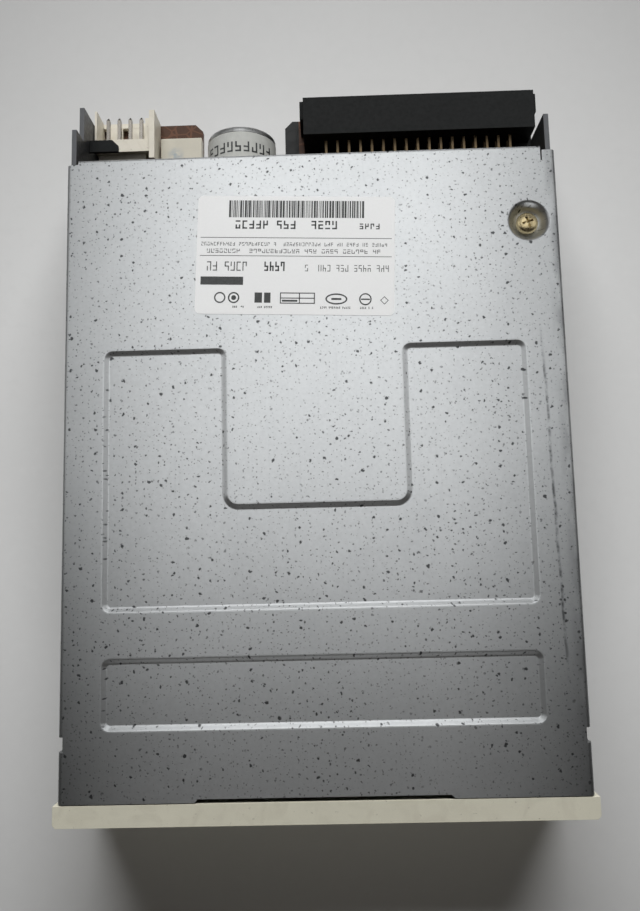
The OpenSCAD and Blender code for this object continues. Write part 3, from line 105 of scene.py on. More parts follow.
class DriveSizes(bpy.types.PropertyGroup):
    ramp_width: FloatProperty(
        name="Pressed ramp width",
        description="Width of the slope round each pressed panel, in millimetres",
        default=1.34,
        min=0.6,
        max=2.4,
    )
    corner_radius: FloatProperty(
        name="Panel corner radius",
        description="Corner radius of the pressed panels, in millimetres",
        default=1.9,
        min=1.6,
        max=4,
    )
    moulding_edge: FloatProperty(
        name="Moulded edge radius",
        description="Radius of the edges of moulded pieces",
        default=0.00022,
        min=0.00005,
        max=0.0006,
        unit="LENGTH",
    )
    speck_size: FloatProperty(
        name="Speck size",
        description="Radius of the largest dark specks on the cover, in millimetres",
        default=0.38,
        min=0.1,
        max=0.8,
    )


class DriveColours(bpy.types.PropertyGroup):
    zinc: colour_property("Zinc", "Colour of the galvanised cover", (0.58, 0.60, 0.61))
    steel: colour_property("Steel", "Colour of the chassis steel", (0.12, 0.124, 0.13))
    bezel: colour_property("Bezel", "Colour of the bezel, the flap and the button", (0.62, 0.60, 0.49))
    header: colour_property("Header", "Colour of the black mouldings", (0.005, 0.006, 0.006))
    power: colour_property("Power connector", "Colour of the power connector", (0.74, 0.70, 0.60))
    board: colour_property("Main board", "Colour of the main board", (0.06, 0.027, 0.014))
    label: colour_property("Label", "Colour of the labels", (0.93, 0.94, 0.94))


# ---------- shapes ----------


def block(bm, low, high):
    """A box between two corners."""
    made = bmesh.ops.create_cube(bm, size=1)["verts"]
    low, high = Vector(low), Vector(high)
    bmesh.ops.scale(bm, vec=high - low, verts=made)
    bmesh.ops.translate(bm, vec=(low + high) / 2, verts=made)
    return made


def turned(bm, profile, centre, axis, steps=64):
    """A profile of (radius, height) points turned about an axis."""
    axis = Vector(axis)
    side = axis.orthogonal().normalized()
    verts = [bm.verts.new(Vector(centre) + side * r + axis * h) for r, h in profile]
    edges = [bm.edges.new(pair) for pair in zip(verts, verts[1:])]
    bmesh.ops.spin(
        bm,
        geom=verts + edges,
        cent=centre,
        axis=axis,
        angle=math.tau,
        steps=steps,
        use_merge=True,
        use_duplicate=False,
    )
    bmesh.ops.remove_doubles(bm, verts=bm.verts[:], dist=0.001)
    bmesh.ops.recalc_face_normals(bm, faces=bm.faces[:])


def soften(bm, geom, width, segments, affect="EDGES"):
    """Rounds edges, or the corners of a flat face."""
    bmesh.ops.bevel(
        bm,
        geom=geom,
        offset=width,
        offset_type="OFFSET",
        affect=affect,
        segments=segments,
        profile=0.5,
        material=-1,
        clamp_overlap=True,
    )


def mesh_of(bm, name):
    """The bmesh as a new mesh; the bmesh is freed."""
    mesh = bpy.data.meshes.new(name)
    bm.to_mesh(mesh)
    bm.free()
    return mesh


def placed(name, data):
    """A new object in the scene."""
    thing = bpy.data.objects.new(name, data)
    bpy.context.scene.collection.objects.link(thing)
    return thing


def finish_piece(bm, name, body, material, replaces=(), crisp=35):
    """Turns a bmesh into a shaded piece that rides on a body."""
    bmesh.ops.scale(bm, vec=(1 / MM,) * 3, verts=bm.verts[:])
    mesh = mesh_of(bm, name)
    piece = placed(name, mesh)
    mesh.materials.append(material)
    shade(mesh, crisp)
    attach(piece, body)
    if replaces:
        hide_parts(*replaces)
    return piece


def shade(mesh, crisp):
    for polygon in mesh.polygons:
        polygon.use_smooth = True
    mesh.set_sharp_from_angle(angle=math.radians(crisp))


def settle(piece, crisp=35):
    """Applies the piece's modifiers to its mesh."""
    shown = piece.evaluated_get(bpy.context.evaluated_depsgraph_get())
    mesh = bpy.data.meshes.new_from_object(shown)
    piece.modifiers.clear()
    old, piece.data = piece.data, mesh
    bpy.data.meshes.remove(old)
    shade(mesh, crisp)


def carve(piece, tool, operation="DIFFERENCE"):
    """Cuts the tool's bmesh, in millimetres, out of a piece, or merges it in."""
    bmesh.ops.scale(tool, vec=(1 / MM,) * 3, verts=tool.verts[:])
    bmesh.ops.recalc_face_normals(tool, faces=tool.faces[:])
    mesh = mesh_of(tool, "tool")
    cutter = placed("tool", mesh)
    cut = piece.modifiers.new("Cut", "BOOLEAN")
    cut.operation, cut.solver, cut.object = operation, "EXACT", cutter
    if operation == "UNION":
        piece.modifiers.move(len(piece.modifiers) - 1, 0)
    settle(piece)
    bpy.data.objects.remove(cutter)
    bpy.data.meshes.remove(mesh)


def flatten(bm):
    """Merges faces that lie in one plane."""
    bmesh.ops.dissolve_limit(
        bm,
        angle_limit=math.radians(0.4),
        use_dissolve_boundaries=False,
        verts=bm.verts[:],
        edges=bm.edges[:],
    )


def round_edges(piece, radius, segments=2):
    """Rounds the edges of a finished piece; the radius is in metres."""
    rounding = piece.modifiers.new("Edge", "BEVEL")
    rounding.width, rounding.segments = radius, segments
    rounding.limit_method, rounding.angle_limit = "ANGLE", math.radians(40)
    rounding.use_clamp_overlap, rounding.harden_normals = True, False
    even_normals(piece)


def even_normals(piece):
    """Flat faces keep flat shading beside small rounded edges."""
    weighted = piece.modifiers.new("Flats", "WEIGHTED_NORMAL")
    weighted.mode = "FACE_AREA"
    weighted.keep_sharp = True


# ---------- finishes ----------


class Finish:
    """A material made of patterns on Object coordinates, in millimetres."""

    def __init__(self, name, colour, roughness, metallic=0.0):
        self.material = bpy.data.materials.new(name)
        self.material.use_nodes = True
        self.tree = self.material.node_tree
        self.shader = self.tree.nodes["Principled BSDF"]
        self.shader.inputs["Base Color"].default_value = (*colour, 1)
        self.shader.inputs["Roughness"].default_value = roughness
        self.shader.inputs["Metallic"].default_value = metallic
        self.material.diffuse_color = (*colour, 1)
        self.tint = None
        self.base = (*colour, 1)
        where = self.add("ShaderNodeTexCoord")
        self.place = self.scaled(where.outputs["Object"], (MM,) * 3)
        self.height = None

    def add(self, kind):
        return self.tree.nodes.new(kind)

    def link(self, output, socket):
        self.tree.links.new(output, socket)

    def scaled(self, vector, scale, shift=(0, 0, 0)):
        node = self.add("ShaderNodeMapping")
        node.inputs["Scale"].default_value = scale
        node.inputs["Location"].default_value = shift
        self.link(vector, node.inputs["Vector"])
        return node.outputs["Vector"]

    def noise(self, scale, detail=3, stretch=(1, 1, 1), twist=0.0, shift=(0, 0, 0)):
        node = self.add("ShaderNodeTexNoise")
        node.inputs["Scale"].default_value = scale
        node.inputs["Detail"].default_value = detail
        node.inputs["Roughness"].default_value = 0.55
        node.inputs["Distortion"].default_value = twist
        self.link(self.scaled(self.place, stretch, shift), node.inputs["Vector"])
        return node.outputs[0]

    def cells(self, scale, vector=None, feature="F1"):
        node = self.add("ShaderNodeTexVoronoi")
        node.feature = feature
        node.inputs["Scale"].default_value = scale
        self.link(vector or self.place, node.inputs["Vector"])
        return node

    def maths(self, operation, first, second=None):
        node = self.add("ShaderNodeMath")
        node.operation = operation
        for socket, value in zip(node.inputs, (first, second)):
            if value is None:
                continue
            if isinstance(value, (int, float)):
                socket.default_value = value
            else:
                self.link(value, socket)
        return node.outputs[0]

    def ramp(self, value, low, high, start=0.0, end=1.0):
        node = self.add("ShaderNodeMapRange")
        node.clamp = True
        for socket, number in zip(node.inputs[1:5], (low, high, start, end)):
            socket.default_value = number
        self.link(value, node.inputs[0])
        return node.outputs[0]

    def stripes(self, direction, scale):
        node = self.add("ShaderNodeTexWave")
        node.wave_type, node.bands_direction = "BANDS", direction
        node.inputs["Scale"].default_value = scale
        self.link(self.place, node.inputs["Vector"])
        return node.outputs[1]

    def along(self, axis):
        node = self.add("ShaderNodeSeparateXYZ")
        self.link(self.place, node.inputs[0])
        return node.outputs[axis]

    def distance_from(self, point):
        node = self.add("ShaderNodeVectorMath")
        node.operation = "DISTANCE"
        node.inputs[1].default_value = point
        self.link(self.place, node.inputs[0])
        return node.outputs["Value"]

    def band(self, axis, low, high, soft=0.1):
        """1 between low and high along an axis, 0 outside."""
        value = self.along(axis)
        rise = self.ramp(value, low - soft, low + soft)
        return self.maths("MULTIPLY", rise, self.ramp(value, high - soft, high + soft, 1, 0))

    def stain(self, mask, colour, share=None):
        """Blends a colour, or a share of it, over what is there, where the mask is 1."""
        if share is not None:
            mask = self.maths("MULTIPLY", mask, share)
        node = self.add("ShaderNodeMix")
        node.data_type = "RGBA"
        if self.tint is None:
            node.inputs[6].default_value = self.base
        else:
            self.link(self.tint, node.inputs[6])
        node.inputs[7].default_value = (*colour, 1)
        self.link(mask, node.inputs[0])
        self.tint = node.outputs[2]

    def shine(self, level):
        self.shader.inputs["Specular IOR Level"].default_value = level

    def vary(self, scale, amount, detail=3, stretch=(1, 1, 1)):
        """Slightly lighter and darker patches."""
        dark = tuple(c * (1 - amount) for c in self.base[:3])
        light = tuple(min(1, c * (1 + amount)) for c in self.base[:3])
        patch = self.noise(scale, detail, stretch)
        self.stain(self.ramp(patch, 0.5, 0.25), dark)
        self.stain(self.ramp(patch, 0.5, 0.75), light)

    def gloss(self, scale, low, high):
        """Roughness that wanders between two values."""
        rough = self.ramp(self.noise(scale), 0.3, 0.7, low, high)
        self.link(rough, self.shader.inputs["Roughness"])

    def relief(self, height, distance, strength=1.0):
        """Adds a bump; distance is in millimetres."""
        node = self.add("ShaderNodeBump")
        node.inputs["Strength"].default_value = strength
        node.inputs["Distance"].default_value = distance / MM
        self.link(height, node.inputs["Height"])
        if self.height is not None:
            self.link(self.height, node.inputs["Normal"])
        self.height = node.outputs["Normal"]

    def done(self):
        if self.tint is not None:
            self.link(self.tint, self.shader.inputs["Base Color"])
        if self.height is not None:
            self.link(self.height, self.shader.inputs["Normal"])
        return self.material


def unrolled(finish):
    """Place on the cover's sheet as if its sides lay flat beside its top."""
    drop = finish.maths("SUBTRACT", TOP_Z, finish.along(2))
    side = finish.maths("MAXIMUM", finish.maths("MULTIPLY", finish.along(0), 0.1), -1)
    side = finish.maths("MINIMUM", side, 1)
    flat = finish.add("ShaderNodeCombineXYZ")
    across = finish.maths("ADD", finish.along(0), finish.maths("MULTIPLY", drop, side))
    finish.link(across, flat.inputs[0])
    finish.link(finish.along(1), flat.inputs[1])
    return flat.outputs[0]


def specks(finish, sheet, scale, largest, share, shift):
    """Ragged dots up to the largest radius, in the given share of the cells."""
    wobble = finish.add("ShaderNodeTexNoise")
    wobble.inputs["Scale"].default_value = 1.1
    wobble.inputs["Detail"].default_value = 2
    finish.link(sheet, wobble.inputs["Vector"])
    mixed = finish.add("ShaderNodeVectorMath")
    mixed.operation = "MULTIPLY_ADD"
    mixed.inputs[1].default_value = (0.9, 0.9, 0)
    finish.link(wobble.outputs[1], mixed.inputs[0])
    finish.link(finish.scaled(sheet, (1, 1, 1), shift), mixed.inputs[2])
    cells = finish.cells(scale, mixed.outputs[0])
    cells.voronoi_dimensions = "2D"
    pick = finish.add("ShaderNodeSeparateColor")
    finish.link(cells.outputs[1], pick.inputs[0])
    chance = finish.ramp(pick.outputs[0], 1 - share, 1.0, 0.4, 1.0)
    chance = finish.maths("MULTIPLY", chance, finish.maths("GREATER_THAN", pick.outputs[0], 1 - share))
    radius = finish.maths("MULTIPLY", chance, largest * scale)
    inside = finish.maths("SUBTRACT", radius, cells.outputs[0])
    return finish.ramp(inside, 0.0, 0.14 * scale, 0.0, 1.0)


# Painted shade that darkens the cover's sides: its strength at the front and the rear, and how far out
# from the middle it starts and is full. It is tuned to the reference photo's light and not to the metal.
# Strengths of 0 take it off, for use under other lamps.
PAINTED_SHADE_FRONT, PAINTED_SHADE_REAR = 0.68, 0.3
PAINTED_SHADE_START, PAINTED_SHADE_FULL = 18, 50


def galvanised_cover(colours, sizes):
    f = Finish("galvanised_cover", colours.zinc, 0.38, 0.97)
    f.vary(0.035, 0.05)
    f.vary(1.3, 0.05, 4)
    haze = f.ramp(f.noise(0.09, 4, twist=0.6), 0.5, 0.72)
    f.stain(haze, (0.42, 0.44, 0.46), 0.12)
    drawn = f.ramp(f.noise(2.2, 2, (1, 0.02, 1)), 0.62, 0.74)
    f.stain(drawn, (0.34, 0.35, 0.37), 0.08)
    # painted shade: the cover gets darker towards its sides, more at the front than at the rear
    side = f.ramp(f.maths("ABSOLUTE", f.along(0)), PAINTED_SHADE_START, PAINTED_SHADE_FULL)
    side = f.maths("MULTIPLY", side, side)
    strength = f.ramp(f.along(1), at(5), at(70), PAINTED_SHADE_FRONT, PAINTED_SHADE_REAR)
    f.stain(side, (0.05, 0.055, 0.055), strength)
    crowd = f.ramp(f.noise(0.05, 2, shift=(7, 3, 0)), 0.3, 0.62, 0.35, 1.0)
    sheet = unrolled(f)
    big = specks(f, sheet, 0.4, sizes.speck_size, 0.4, (3, 8, 0))
    small = specks(f, sheet, 0.7, sizes.speck_size * 0.72, 0.68, (1, 2, 0))
    fine = specks(f, sheet, 1.15, sizes.speck_size * 0.5, 0.6, (5, 1, 0))
    dots = f.maths("MAXIMUM", big, f.maths("MULTIPLY", small, crowd))
    dots = f.maths("MAXIMUM", dots, f.maths("MULTIPLY", fine, 0.7))
    f.stain(dots, (0.04, 0.042, 0.045), 0.9)
    # rubbed line along the right bend
    line = f.maths("ADD", f.along(0), f.maths("MULTIPLY", f.along(1), 0.02))
    wander = f.maths("ADD", line, f.maths("MULTIPLY", f.noise(0.12, 3), 1.1))
    rub = f.maths("MULTIPLY", f.ramp(wander, 45.6, 45.85), f.ramp(wander, 46.0, 46.35, 1, 0))
    rub = f.maths("MULTIPLY", rub, f.band(1, at(24), at(84), 6))
    f.stain(rub, (0.12, 0.125, 0.13), f.ramp(f.noise(0.5, 3), 0.35, 0.6))
    patches = f.ramp(f.noise(0.35, 4, (1, 0.35, 1)), 0.42, 0.6)
    grime = f.maths("MULTIPLY", f.ramp(f.along(0), 47.2, 49.6), patches)
    grime = f.maths("MULTIPLY", grime, f.ramp(f.along(2), TOP_Z - 2.2, TOP_Z - 0.8, 0.12, 1))
    f.stain(grime, (0.16, 0.165, 0.17), 0.6)
    f.gloss(2.5, 0.35, 0.41)
    f.relief(f.noise(5, 3), 0.004, 0.4)
    f.relief(f.maths("SUBTRACT", 1.0, dots), 0.02, 0.4)
    return f.done()


def rolled_steel(name, colour, roughness=0.38, metallic=0.9):
    f = Finish(name, colour, roughness, metallic)
    f.vary(0.08, 0.1, 4)
    f.vary(3.0, 0.08, 2, (1, 0.06, 1))
    stain = f.ramp(f.noise(0.3, 5, twist=0.5), 0.58, 0.76)
    f.stain(stain, tuple(c * 0.45 for c in colour), 0.35)
    f.gloss(1.2, roughness - 0.08, roughness + 0.12)
    f.relief(f.noise(4, 3, (1, 0.1, 1)), 0.006, 0.5)
    return f.done()


def moulded_plastic(name, colour, roughness=0.5, dirt=None, shine=0.5):
    f = Finish(name, colour, roughness)
    f.shine(shine)
    f.vary(0.12, 0.04, 4)
    f.vary(6.0, 0.03, 2)
    if dirt:
        smear = f.ramp(f.noise(0.22, 5, twist=0.8), 0.5, 0.75)
        f.stain(smear, dirt, 0.35)
        spots = f.ramp(f.noise(1.1, 4), 0.66, 0.74)
        f.stain(spots, tuple(c * 0.45 for c in dirt), 0.55)
    f.gloss(1.5, roughness - 0.08, roughness + 0.1)
    f.relief(f.noise(9, 2), 0.01, 0.5)
    return f.done()


def stepper_socket_plastic():
    f = Finish("stepper_socket_plastic", (0.58, 0.55, 0.46), 0.5)
    f.vary(0.3, 0.07, 4)
    f.vary(5, 0.03)
    spot = f.maths("MULTIPLY", f.band(0, -31.9, -29.6, 0.9), f.band(1, at(134.8), at(137.4), 0.9))
    spot = f.maths("MULTIPLY", spot, f.ramp(f.noise(0.9, 2), 0.25, 0.6))
    f.stain(spot, (0.22, 0.30, 0.38), 0.75)
    f.gloss(1.5, 0.42, 0.6)
    f.relief(f.noise(8, 2), 0.01, 0.5)
    return f.done()


def bare_metal(name, colour, roughness=0.28):
    f = Finish(name, colour, roughness, 1.0)
    f.vary(0.5, 0.08, 3)
    f.vary(5, 0.08, 2, (1, 0.1, 1))
    f.gloss(2.0, roughness - 0.08, roughness + 0.1)
    f.relief(f.noise(7, 3), 0.004, 0.5)
    return f.done()


def wound_wire(name, colour):
    f = Finish(name, colour, 0.35, 0.6)
    f.vary(0.6, 0.12)
    turns = f.stripes("Z", 1.6)
    f.stain(f.ramp(turns, 0.45, 0.1), tuple(c * 0.4 for c in colour))
    f.relief(turns, 0.08, 0.8)
    return f.done()


def resin_board(name, colour, trace, black_strip=False):
    """Resin board with fine copper lines under its mask."""
    f = Finish(name, colour, 0.5)
    f.shine(0.3)
    f.vary(0.25, 0.14, 4)
    f.vary(4, 0.06, 2, (1, 0.2, 1))
    net = f.cells(0.4, f.scaled(f.place, (1, 1, 0.02)), "DISTANCE_TO_EDGE")
    lines = f.ramp(net.outputs[0], 0.03, 0.07, 1, 0)
    f.stain(lines, trace, 0.25)
    pads = f.ramp(f.cells(0.33, f.scaled(f.place, (1, 1, 0.02))).outputs[0], 0.09, 0.12, 1, 0)
    f.stain(pads, (0.42, 0.38, 0.33), 0.5)
    if black_strip:
        strip = f.maths("MULTIPLY", f.band(0, -7, -2.75, 0.08), f.band(1, at(110), at(146), 0.1))
        f.stain(strip, (0.012, 0.013, 0.013))
    f.gloss(0.8, 0.3, 0.55)
    f.relief(lines, 0.03, 0.5)
    f.relief(f.noise(5, 3), 0.01, 0.4)
    return f.done()


def printed_film(name, colour, trace):
    f = Finish(name, colour, 0.3)
    f.vary(0.4, 0.08)
    f.stain(f.ramp(f.stripes("X", 0.32), 0.5, 0.62, 0, 0.8), trace)
    f.gloss(1.0, 0.22, 0.38)
    return f.done()


def label_film(colours):
    f = Finish("label_film", colours.label, 0.42)
    f.vary(0.07, 0.02)
    f.vary(2.5, 0.015)
    f.gloss(0.7, 0.36, 0.5)
    f.relief(f.noise(0.9, 4), 0.01, 0.3)
    return f.done()


def paper_wrap_painted_shade():
    # painted shade: the white paper wrap is coloured grey, for the shade it lies in
    f = Finish("stepper_wrap_painted_shade", (0.56, 0.57, 0.54), 0.6)
    f.shine(0.25)
    f.vary(0.8, 0.06)
    f.vary(4, 0.04)
    f.relief(f.noise(3, 4), 0.01, 0.3)
    return f.done()


def label_ink():
    f = Finish("label_ink", (0.045, 0.048, 0.048), 0.5)
    f.vary(2.2, 0.4, 4)
    f.gloss(1.5, 0.42, 0.6)
    return f.done()


def ferrite_block(name, colour):
    f = Finish(name, colour, 0.55, 0.3)
    f.vary(1.4, 0.2, 4)
    f.gloss(2, 0.45, 0.65)
    f.relief(f.noise(5, 4), 0.02, 0.6)
    return f.done()


def lamp_lens():
    f = Finish("lamp_lens", (0.20, 0.42, 0.16), 0.22)
    f.vary(0.9, 0.08)
    f.gloss(1.2, 0.16, 0.3)
    f.relief(f.noise(3, 2), 0.01, 0.4)
    return f.done()


def paper_floor():
    """Paper with painted shade that darkens it away from the drive, as the floor in the reference photo
    does.
    """
    f = Finish("paper_floor", (0.74, 0.745, 0.74), 0.9)
    f.shine(0.1)
    f.vary(0.012, 0.03, 3)
    f.vary(0.35, 0.012, 4)
    # painted shade: the paper gets darker with distance from the drive
    f.stain(f.ramp(f.distance_from((0, 0, 0)), 78, 135, 0, 0.42), (0.2, 0.2, 0.2))
    f.relief(f.noise(0.25, 5), 0.1, 0.25)
    return f.done()


FINISHES = {}


def finish_for(slot):
    """The finish of each of the record's material slots, made once."""
    colours = bpy.context.scene.drive_colours
    if not FINISHES:
        FINISHES.update(
            chassis_steel=rolled_steel("chassis_steel_finish", colours.steel, 0.42),
            cover_zinc=rolled_steel("bright_zinc_finish", colours.zinc, 0.36, 0.85),
            screw_zinc=bare_metal("yellow_zinc_finish", (0.55, 0.46, 0.27), 0.3),
            label_film=label_film(colours),
            bezel_plastic=moulded_plastic("bezel_plastic_finish", colours.bezel, 0.52, (0.42, 0.39, 0.31)),
            bright_steel=bare_metal("bright_steel_finish", (0.60, 0.61, 0.62), 0.24),
            lamp_plastic=lamp_lens(),
            motor_board=resin_board("motor_board_finish", (0.03, 0.075, 0.05), (0.06, 0.13, 0.08)),
            brass_parts=bare_metal("brass_finish", (0.66, 0.50, 0.22), 0.3),
            black_plastic=moulded_plastic("black_plastic_finish", colours.header, 0.6, None, 0.2),
            core_steel=rolled_steel("core_steel_finish", (0.26, 0.27, 0.28), 0.5),
            copper_wire=wound_wire("copper_wire_finish", (0.62, 0.27, 0.11)),
            ferrite=ferrite_block("ferrite_finish", (0.05, 0.05, 0.052)),
            head_ceramic=moulded_plastic("head_ceramic_finish", (0.74, 0.73, 0.68), 0.25),
            flex_film=printed_film("flex_film_finish", (0.42, 0.17, 0.05), (0.55, 0.27, 0.10)),
            white_plastic=moulded_plastic("white_plastic_finish", (0.72, 0.72, 0.69), 0.45),
            motor_can=bare_metal("motor_can_finish", (0.46, 0.47, 0.47), 0.34),
            board_resin=resin_board("main_board_finish", colours.board, (0.26, 0.11, 0.06), True),
            chip_resin=moulded_plastic("chip_resin_finish", (0.025, 0.026, 0.028), 0.6),
            pin_metal=bare_metal("pin_metal_finish", (0.62, 0.56, 0.42), 0.3),
            cream_plastic=moulded_plastic("cream_plastic_finish", colours.power, 0.42, (0.5, 0.46, 0.36)),
        )
    return FINISHES[slot]


SLOT_OF = {p["node"]: p["material_slot"] for p in frame["record"]["subparts"]}


def rounded_copy(node, name, radius, segments=2, material=None):
    """A copy of a CAD solid with its hard edges rounded, which stands for it; the radius is in metres."""
    source = frame["nodes"][node]
    bm = bmesh.new()
    bm.from_mesh(source.data)
    bmesh.ops.scale(bm, vec=(MM,) * 3, verts=bm.verts[:])
    bmesh.ops.remove_doubles(bm, verts=bm.verts[:], dist=0.002)
    flatten(bm)
    slot = SLOT_OF[node]
    piece = finish_piece(bm, name, source["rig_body"], material or finish_for(slot), [node])
    round_edges(piece, radius, segments)
    return piece


# ---------- cover ----------


def panel_face(bm, points, corner):
    """A flat face through the points, with its corners rounded."""
    before = set(bm.faces)
    face = bm.faces.new([bm.verts.new((x, y, TOP_Z)) for x, y in points])
    soften(bm, face.verts[:], corner, 7, "VERTICES")
    face = max((f for f in bm.faces if f not in before), key=lambda f: f.calc_area())
    face.normal_update()
    if face.normal.z < 0:
        face.normal_flip()
    return face


def pulled(bm, edges, move, shrink=1.0, centre=(0, 0)):
    """Extrudes a chain of edges, then moves and scales it; returns the new chain."""
    made = bmesh.ops.extrude_edge_only(bm, edges=edges)["geom"]
    verts = [g for g in made if isinstance(g, bmesh.types.BMVert)]
    if shrink != 1:
        middle = Matrix.Translation((-centre[0], -centre[1], 0))
        bmesh.ops.scale(bm, vec=(shrink, shrink, 1), space=middle, verts=verts)
    bmesh.ops.translate(bm, vec=move, verts=verts)
    new = set(verts)
    return [e for e in bm.edges if e.verts[0] in new and e.verts[1] in new and len(e.link_faces) == 1]


EDGE_X = 49.0
BEND_RADIUS, BEND_STEPS = 1.0, 7
FLANGE_DROP = 8.0
REAR_Y = 126.4
SHEET = 0.6
# Pressed panels: half widths, places behind the bezel, depth; the tongue lies between the rear corners
PANEL_X, TONGUE_X = 41.8, 17.6
PANEL_FRONT, TONGUE_FRONT, PANEL_REAR = 35.2, 55.9, 86.4
BAR_FRONT, BAR_REAR = 13.2, 26.3
PANEL_DEPTH = 0.5
SCREW_SEAT = (43.9, at(111.1))
SEAT_RADIUS = 4.4
# (step back, depth) down the turned rear edge
LIP_SLOPE = ((0.12, 0.015), (0.36, 0.08), (0.46, 0.16), (0.5, 0.3), (0.5, 0.5))
# (step inwards, step down) across a pressed slope, as shares of its width and depth
PRESSED_SLOPE = (
    (0.10, 0.03), (0.12, 0.10), (0.14, 0.18), (0.28, 0.38), (0.14, 0.18), (0.12, 0.10), (0.10, 0.03),
)
# (radius, depth) down the screw's seat
SEAT_SLOPE = (
    (4.2, 0.05), (3.98, 0.2), (3.76, 0.45), (3.1, 1.4), (2.85, 1.7), (2.55, 1.9), (2.2, 2.0), (1.6, 2.0),
)


def build_cover(sizes, colours):
    """One sheet: outline, pressed panels, screw seat, bent sides and turned rear edge."""
    bm = bmesh.new()
    right = [
        (23.6, at(0.65)), (24.2, at(0)), (EDGE_X, at(0)), (EDGE_X, at(9.4)), (EDGE_X, at(12.2)),
        (EDGE_X, at(126)), (47.3, at(126)), (47.3, at(123.8)), (47.0, at(123.8)), (47.0, at(REAR_Y)),
    ]
    left = [(-47.6, at(REAR_Y)), (-47.6, at(126))] + [(-x, y) for x, y in reversed(right[:6])]
    outline = right + left
    outer = [bm.verts.new((x, y, TOP_Z)) for x, y in outline]
    rim = [bm.edges.new((a, b)) for a, b in zip(outer, outer[1:] + outer[:1])]
    grow = sizes.ramp_width * 0.25
    far, tongue = PANEL_X + grow, TONGUE_X - grow
    low, high, step = at(PANEL_FRONT) - grow, at(PANEL_REAR) + grow, at(TONGUE_FRONT) - grow
    front, back = at(BAR_FRONT) - grow, at(BAR_REAR) + grow
    panels = [
        [(-far, low), (far, low), (far, high), (tongue, high),
         (tongue, step), (-tongue, step), (-tongue, high), (-far, high)],
        [(-far, front), (far, front), (far, back), (-far, back)],
    ]
    for points in panels:
        face = panel_face(bm, points, sizes.corner_radius)
        rim += list(face.edges)
        for inwards, down in PRESSED_SLOPE:
            bmesh.ops.inset_region(
                bm,
                faces=[face],
                thickness=inwards * sizes.ramp_width,
                depth=-down * PANEL_DEPTH,
                use_even_offset=True,
                use_boundary=True,
            )
    middle = Matrix.Translation((*SCREW_SEAT, TOP_Z))
    ring = bmesh.ops.create_circle(bm, cap_ends=False, radius=SEAT_RADIUS, segments=64, matrix=middle)
    ring = ring["verts"]
    ring = list({e for v in ring for e in v.link_edges})
    rim += ring
    radius, depth = SEAT_RADIUS, 0.0
    for new_radius, new_depth in SEAT_SLOPE:
        ring = pulled(bm, ring, (0, 0, depth - new_depth), new_radius / radius, SCREW_SEAT)
        radius, depth = new_radius, new_depth
    bmesh.ops.triangle_fill(bm, use_beauty=True, use_dissolve=False, edges=rim, normal=(0, 0, 1))
    for side in (1, -1):
        chain = [
            e
            for e in rim
            if all(abs(v.co.x - side * EDGE_X) < 0.01 for v in e.verts)
            and not at(9.3) < (e.verts[0].co.y + e.verts[1].co.y) / 2 < at(12.3)
        ]
        last = (0.0, 0.0)
        for i in range(1, BEND_STEPS + 1):
            turn = math.radians(90 * i / BEND_STEPS)
            now = (BEND_RADIUS * math.sin(turn), BEND_RADIUS * (1 - math.cos(turn)))
            chain = pulled(bm, chain, (side * (now[0] - last[0]), 0, last[1] - now[1]))
            last = now
        pulled(bm, chain, (0, 0, -FLANGE_DROP))
    lip = [e for e in rim if all(abs(v.co.y - at(REAR_Y)) < 0.01 for v in e.verts)]
    last = (0.0, 0.0)
    for now in LIP_SLOPE:
        lip = pulled(bm, lip, (0, now[0] - last[0], last[1] - now[1]))
        last = now
    bmesh.ops.remove_doubles(bm, verts=bm.verts[:], dist=0.0005)
    bmesh.ops.recalc_face_normals(bm, faces=bm.faces[:])
    top = max(bm.faces, key=lambda f: f.calc_center_median().z + f.calc_area() * 0.001)
    if top.normal.z < 0:
        bmesh.ops.reverse_faces(bm, faces=bm.faces[:])
    finish = galvanised_cover(colours, sizes)
    cover = finish_piece(bm, "cover_sheet", "drive", finish, ["top_cover"])
    sheet = cover.modifiers.new("Sheet", "SOLIDIFY")
    sheet.thickness, sheet.offset, sheet.use_even_offset = SHEET / MM, -1, True
    settle(cover, 38)
    even_normals(cover)


def build_cover_screw():
    """Pan head with a cross recess, deep in its seat."""
    bm = bmesh.new()
    seat = (*SCREW_SEAT, TOP_Z - 2.0)
    profile = [(0, -2.9), (1.0, -2.7), (1.25, -2.4), (1.25, 0.0), (2.2, 0.0), (2.24, 0.15), (2.2, 0.55)]
    profile += [(2.2 * math.cos(a), 0.55 + 0.85 * math.sin(a)) for a in (0.25, 0.5, 0.75, 1.0, 1.25)]
    turned(bm, profile + [(0, 1.4)], seat, (0, 0, 1), 48)
    zinc = finish_for("screw_zinc")
    screw = finish_piece(bm, "cover_screw_head", "drive", zinc, ["cover_screw"])
    for turn in (0.3, 0.3 + math.pi / 2):
        tool = bmesh.new()
        block(tool, (-1.15, -0.24, 0.55), (1.15, 0.24, 2.2))
        bmesh.ops.rotate(tool, cent=(0, 0, 0), matrix=Matrix.Rotation(turn, 3, "Z"), verts=tool.verts[:])
        bmesh.ops.translate(tool, vec=seat, verts=tool.verts[:])
        carve(screw, tool)


LABEL_AT = (-3.3, 105.3)
LABEL_TURN = math.radians(-2.3)
LABEL_X, LABEL_Y = 20, 12.4


def on_label(bm):
    """Moves a flat mesh from the label's own centre to its place."""
    bmesh.ops.rotate(bm, cent=(0, 0, 0), matrix=Matrix.Rotation(LABEL_TURN, 3, "Z"), verts=bm.verts[:])
    bmesh.ops.translate(bm, vec=(LABEL_AT[0], at(LABEL_AT[1]), TOP_Z), verts=bm.verts[:])


PAPER, INK = 0.066, 0.008


def ink(bm, x, y, w, h):
    """A thin printed patch with its lower left corner at x, y."""
    block(bm, (x, y, PAPER), (x + w, y + h, PAPER + INK))


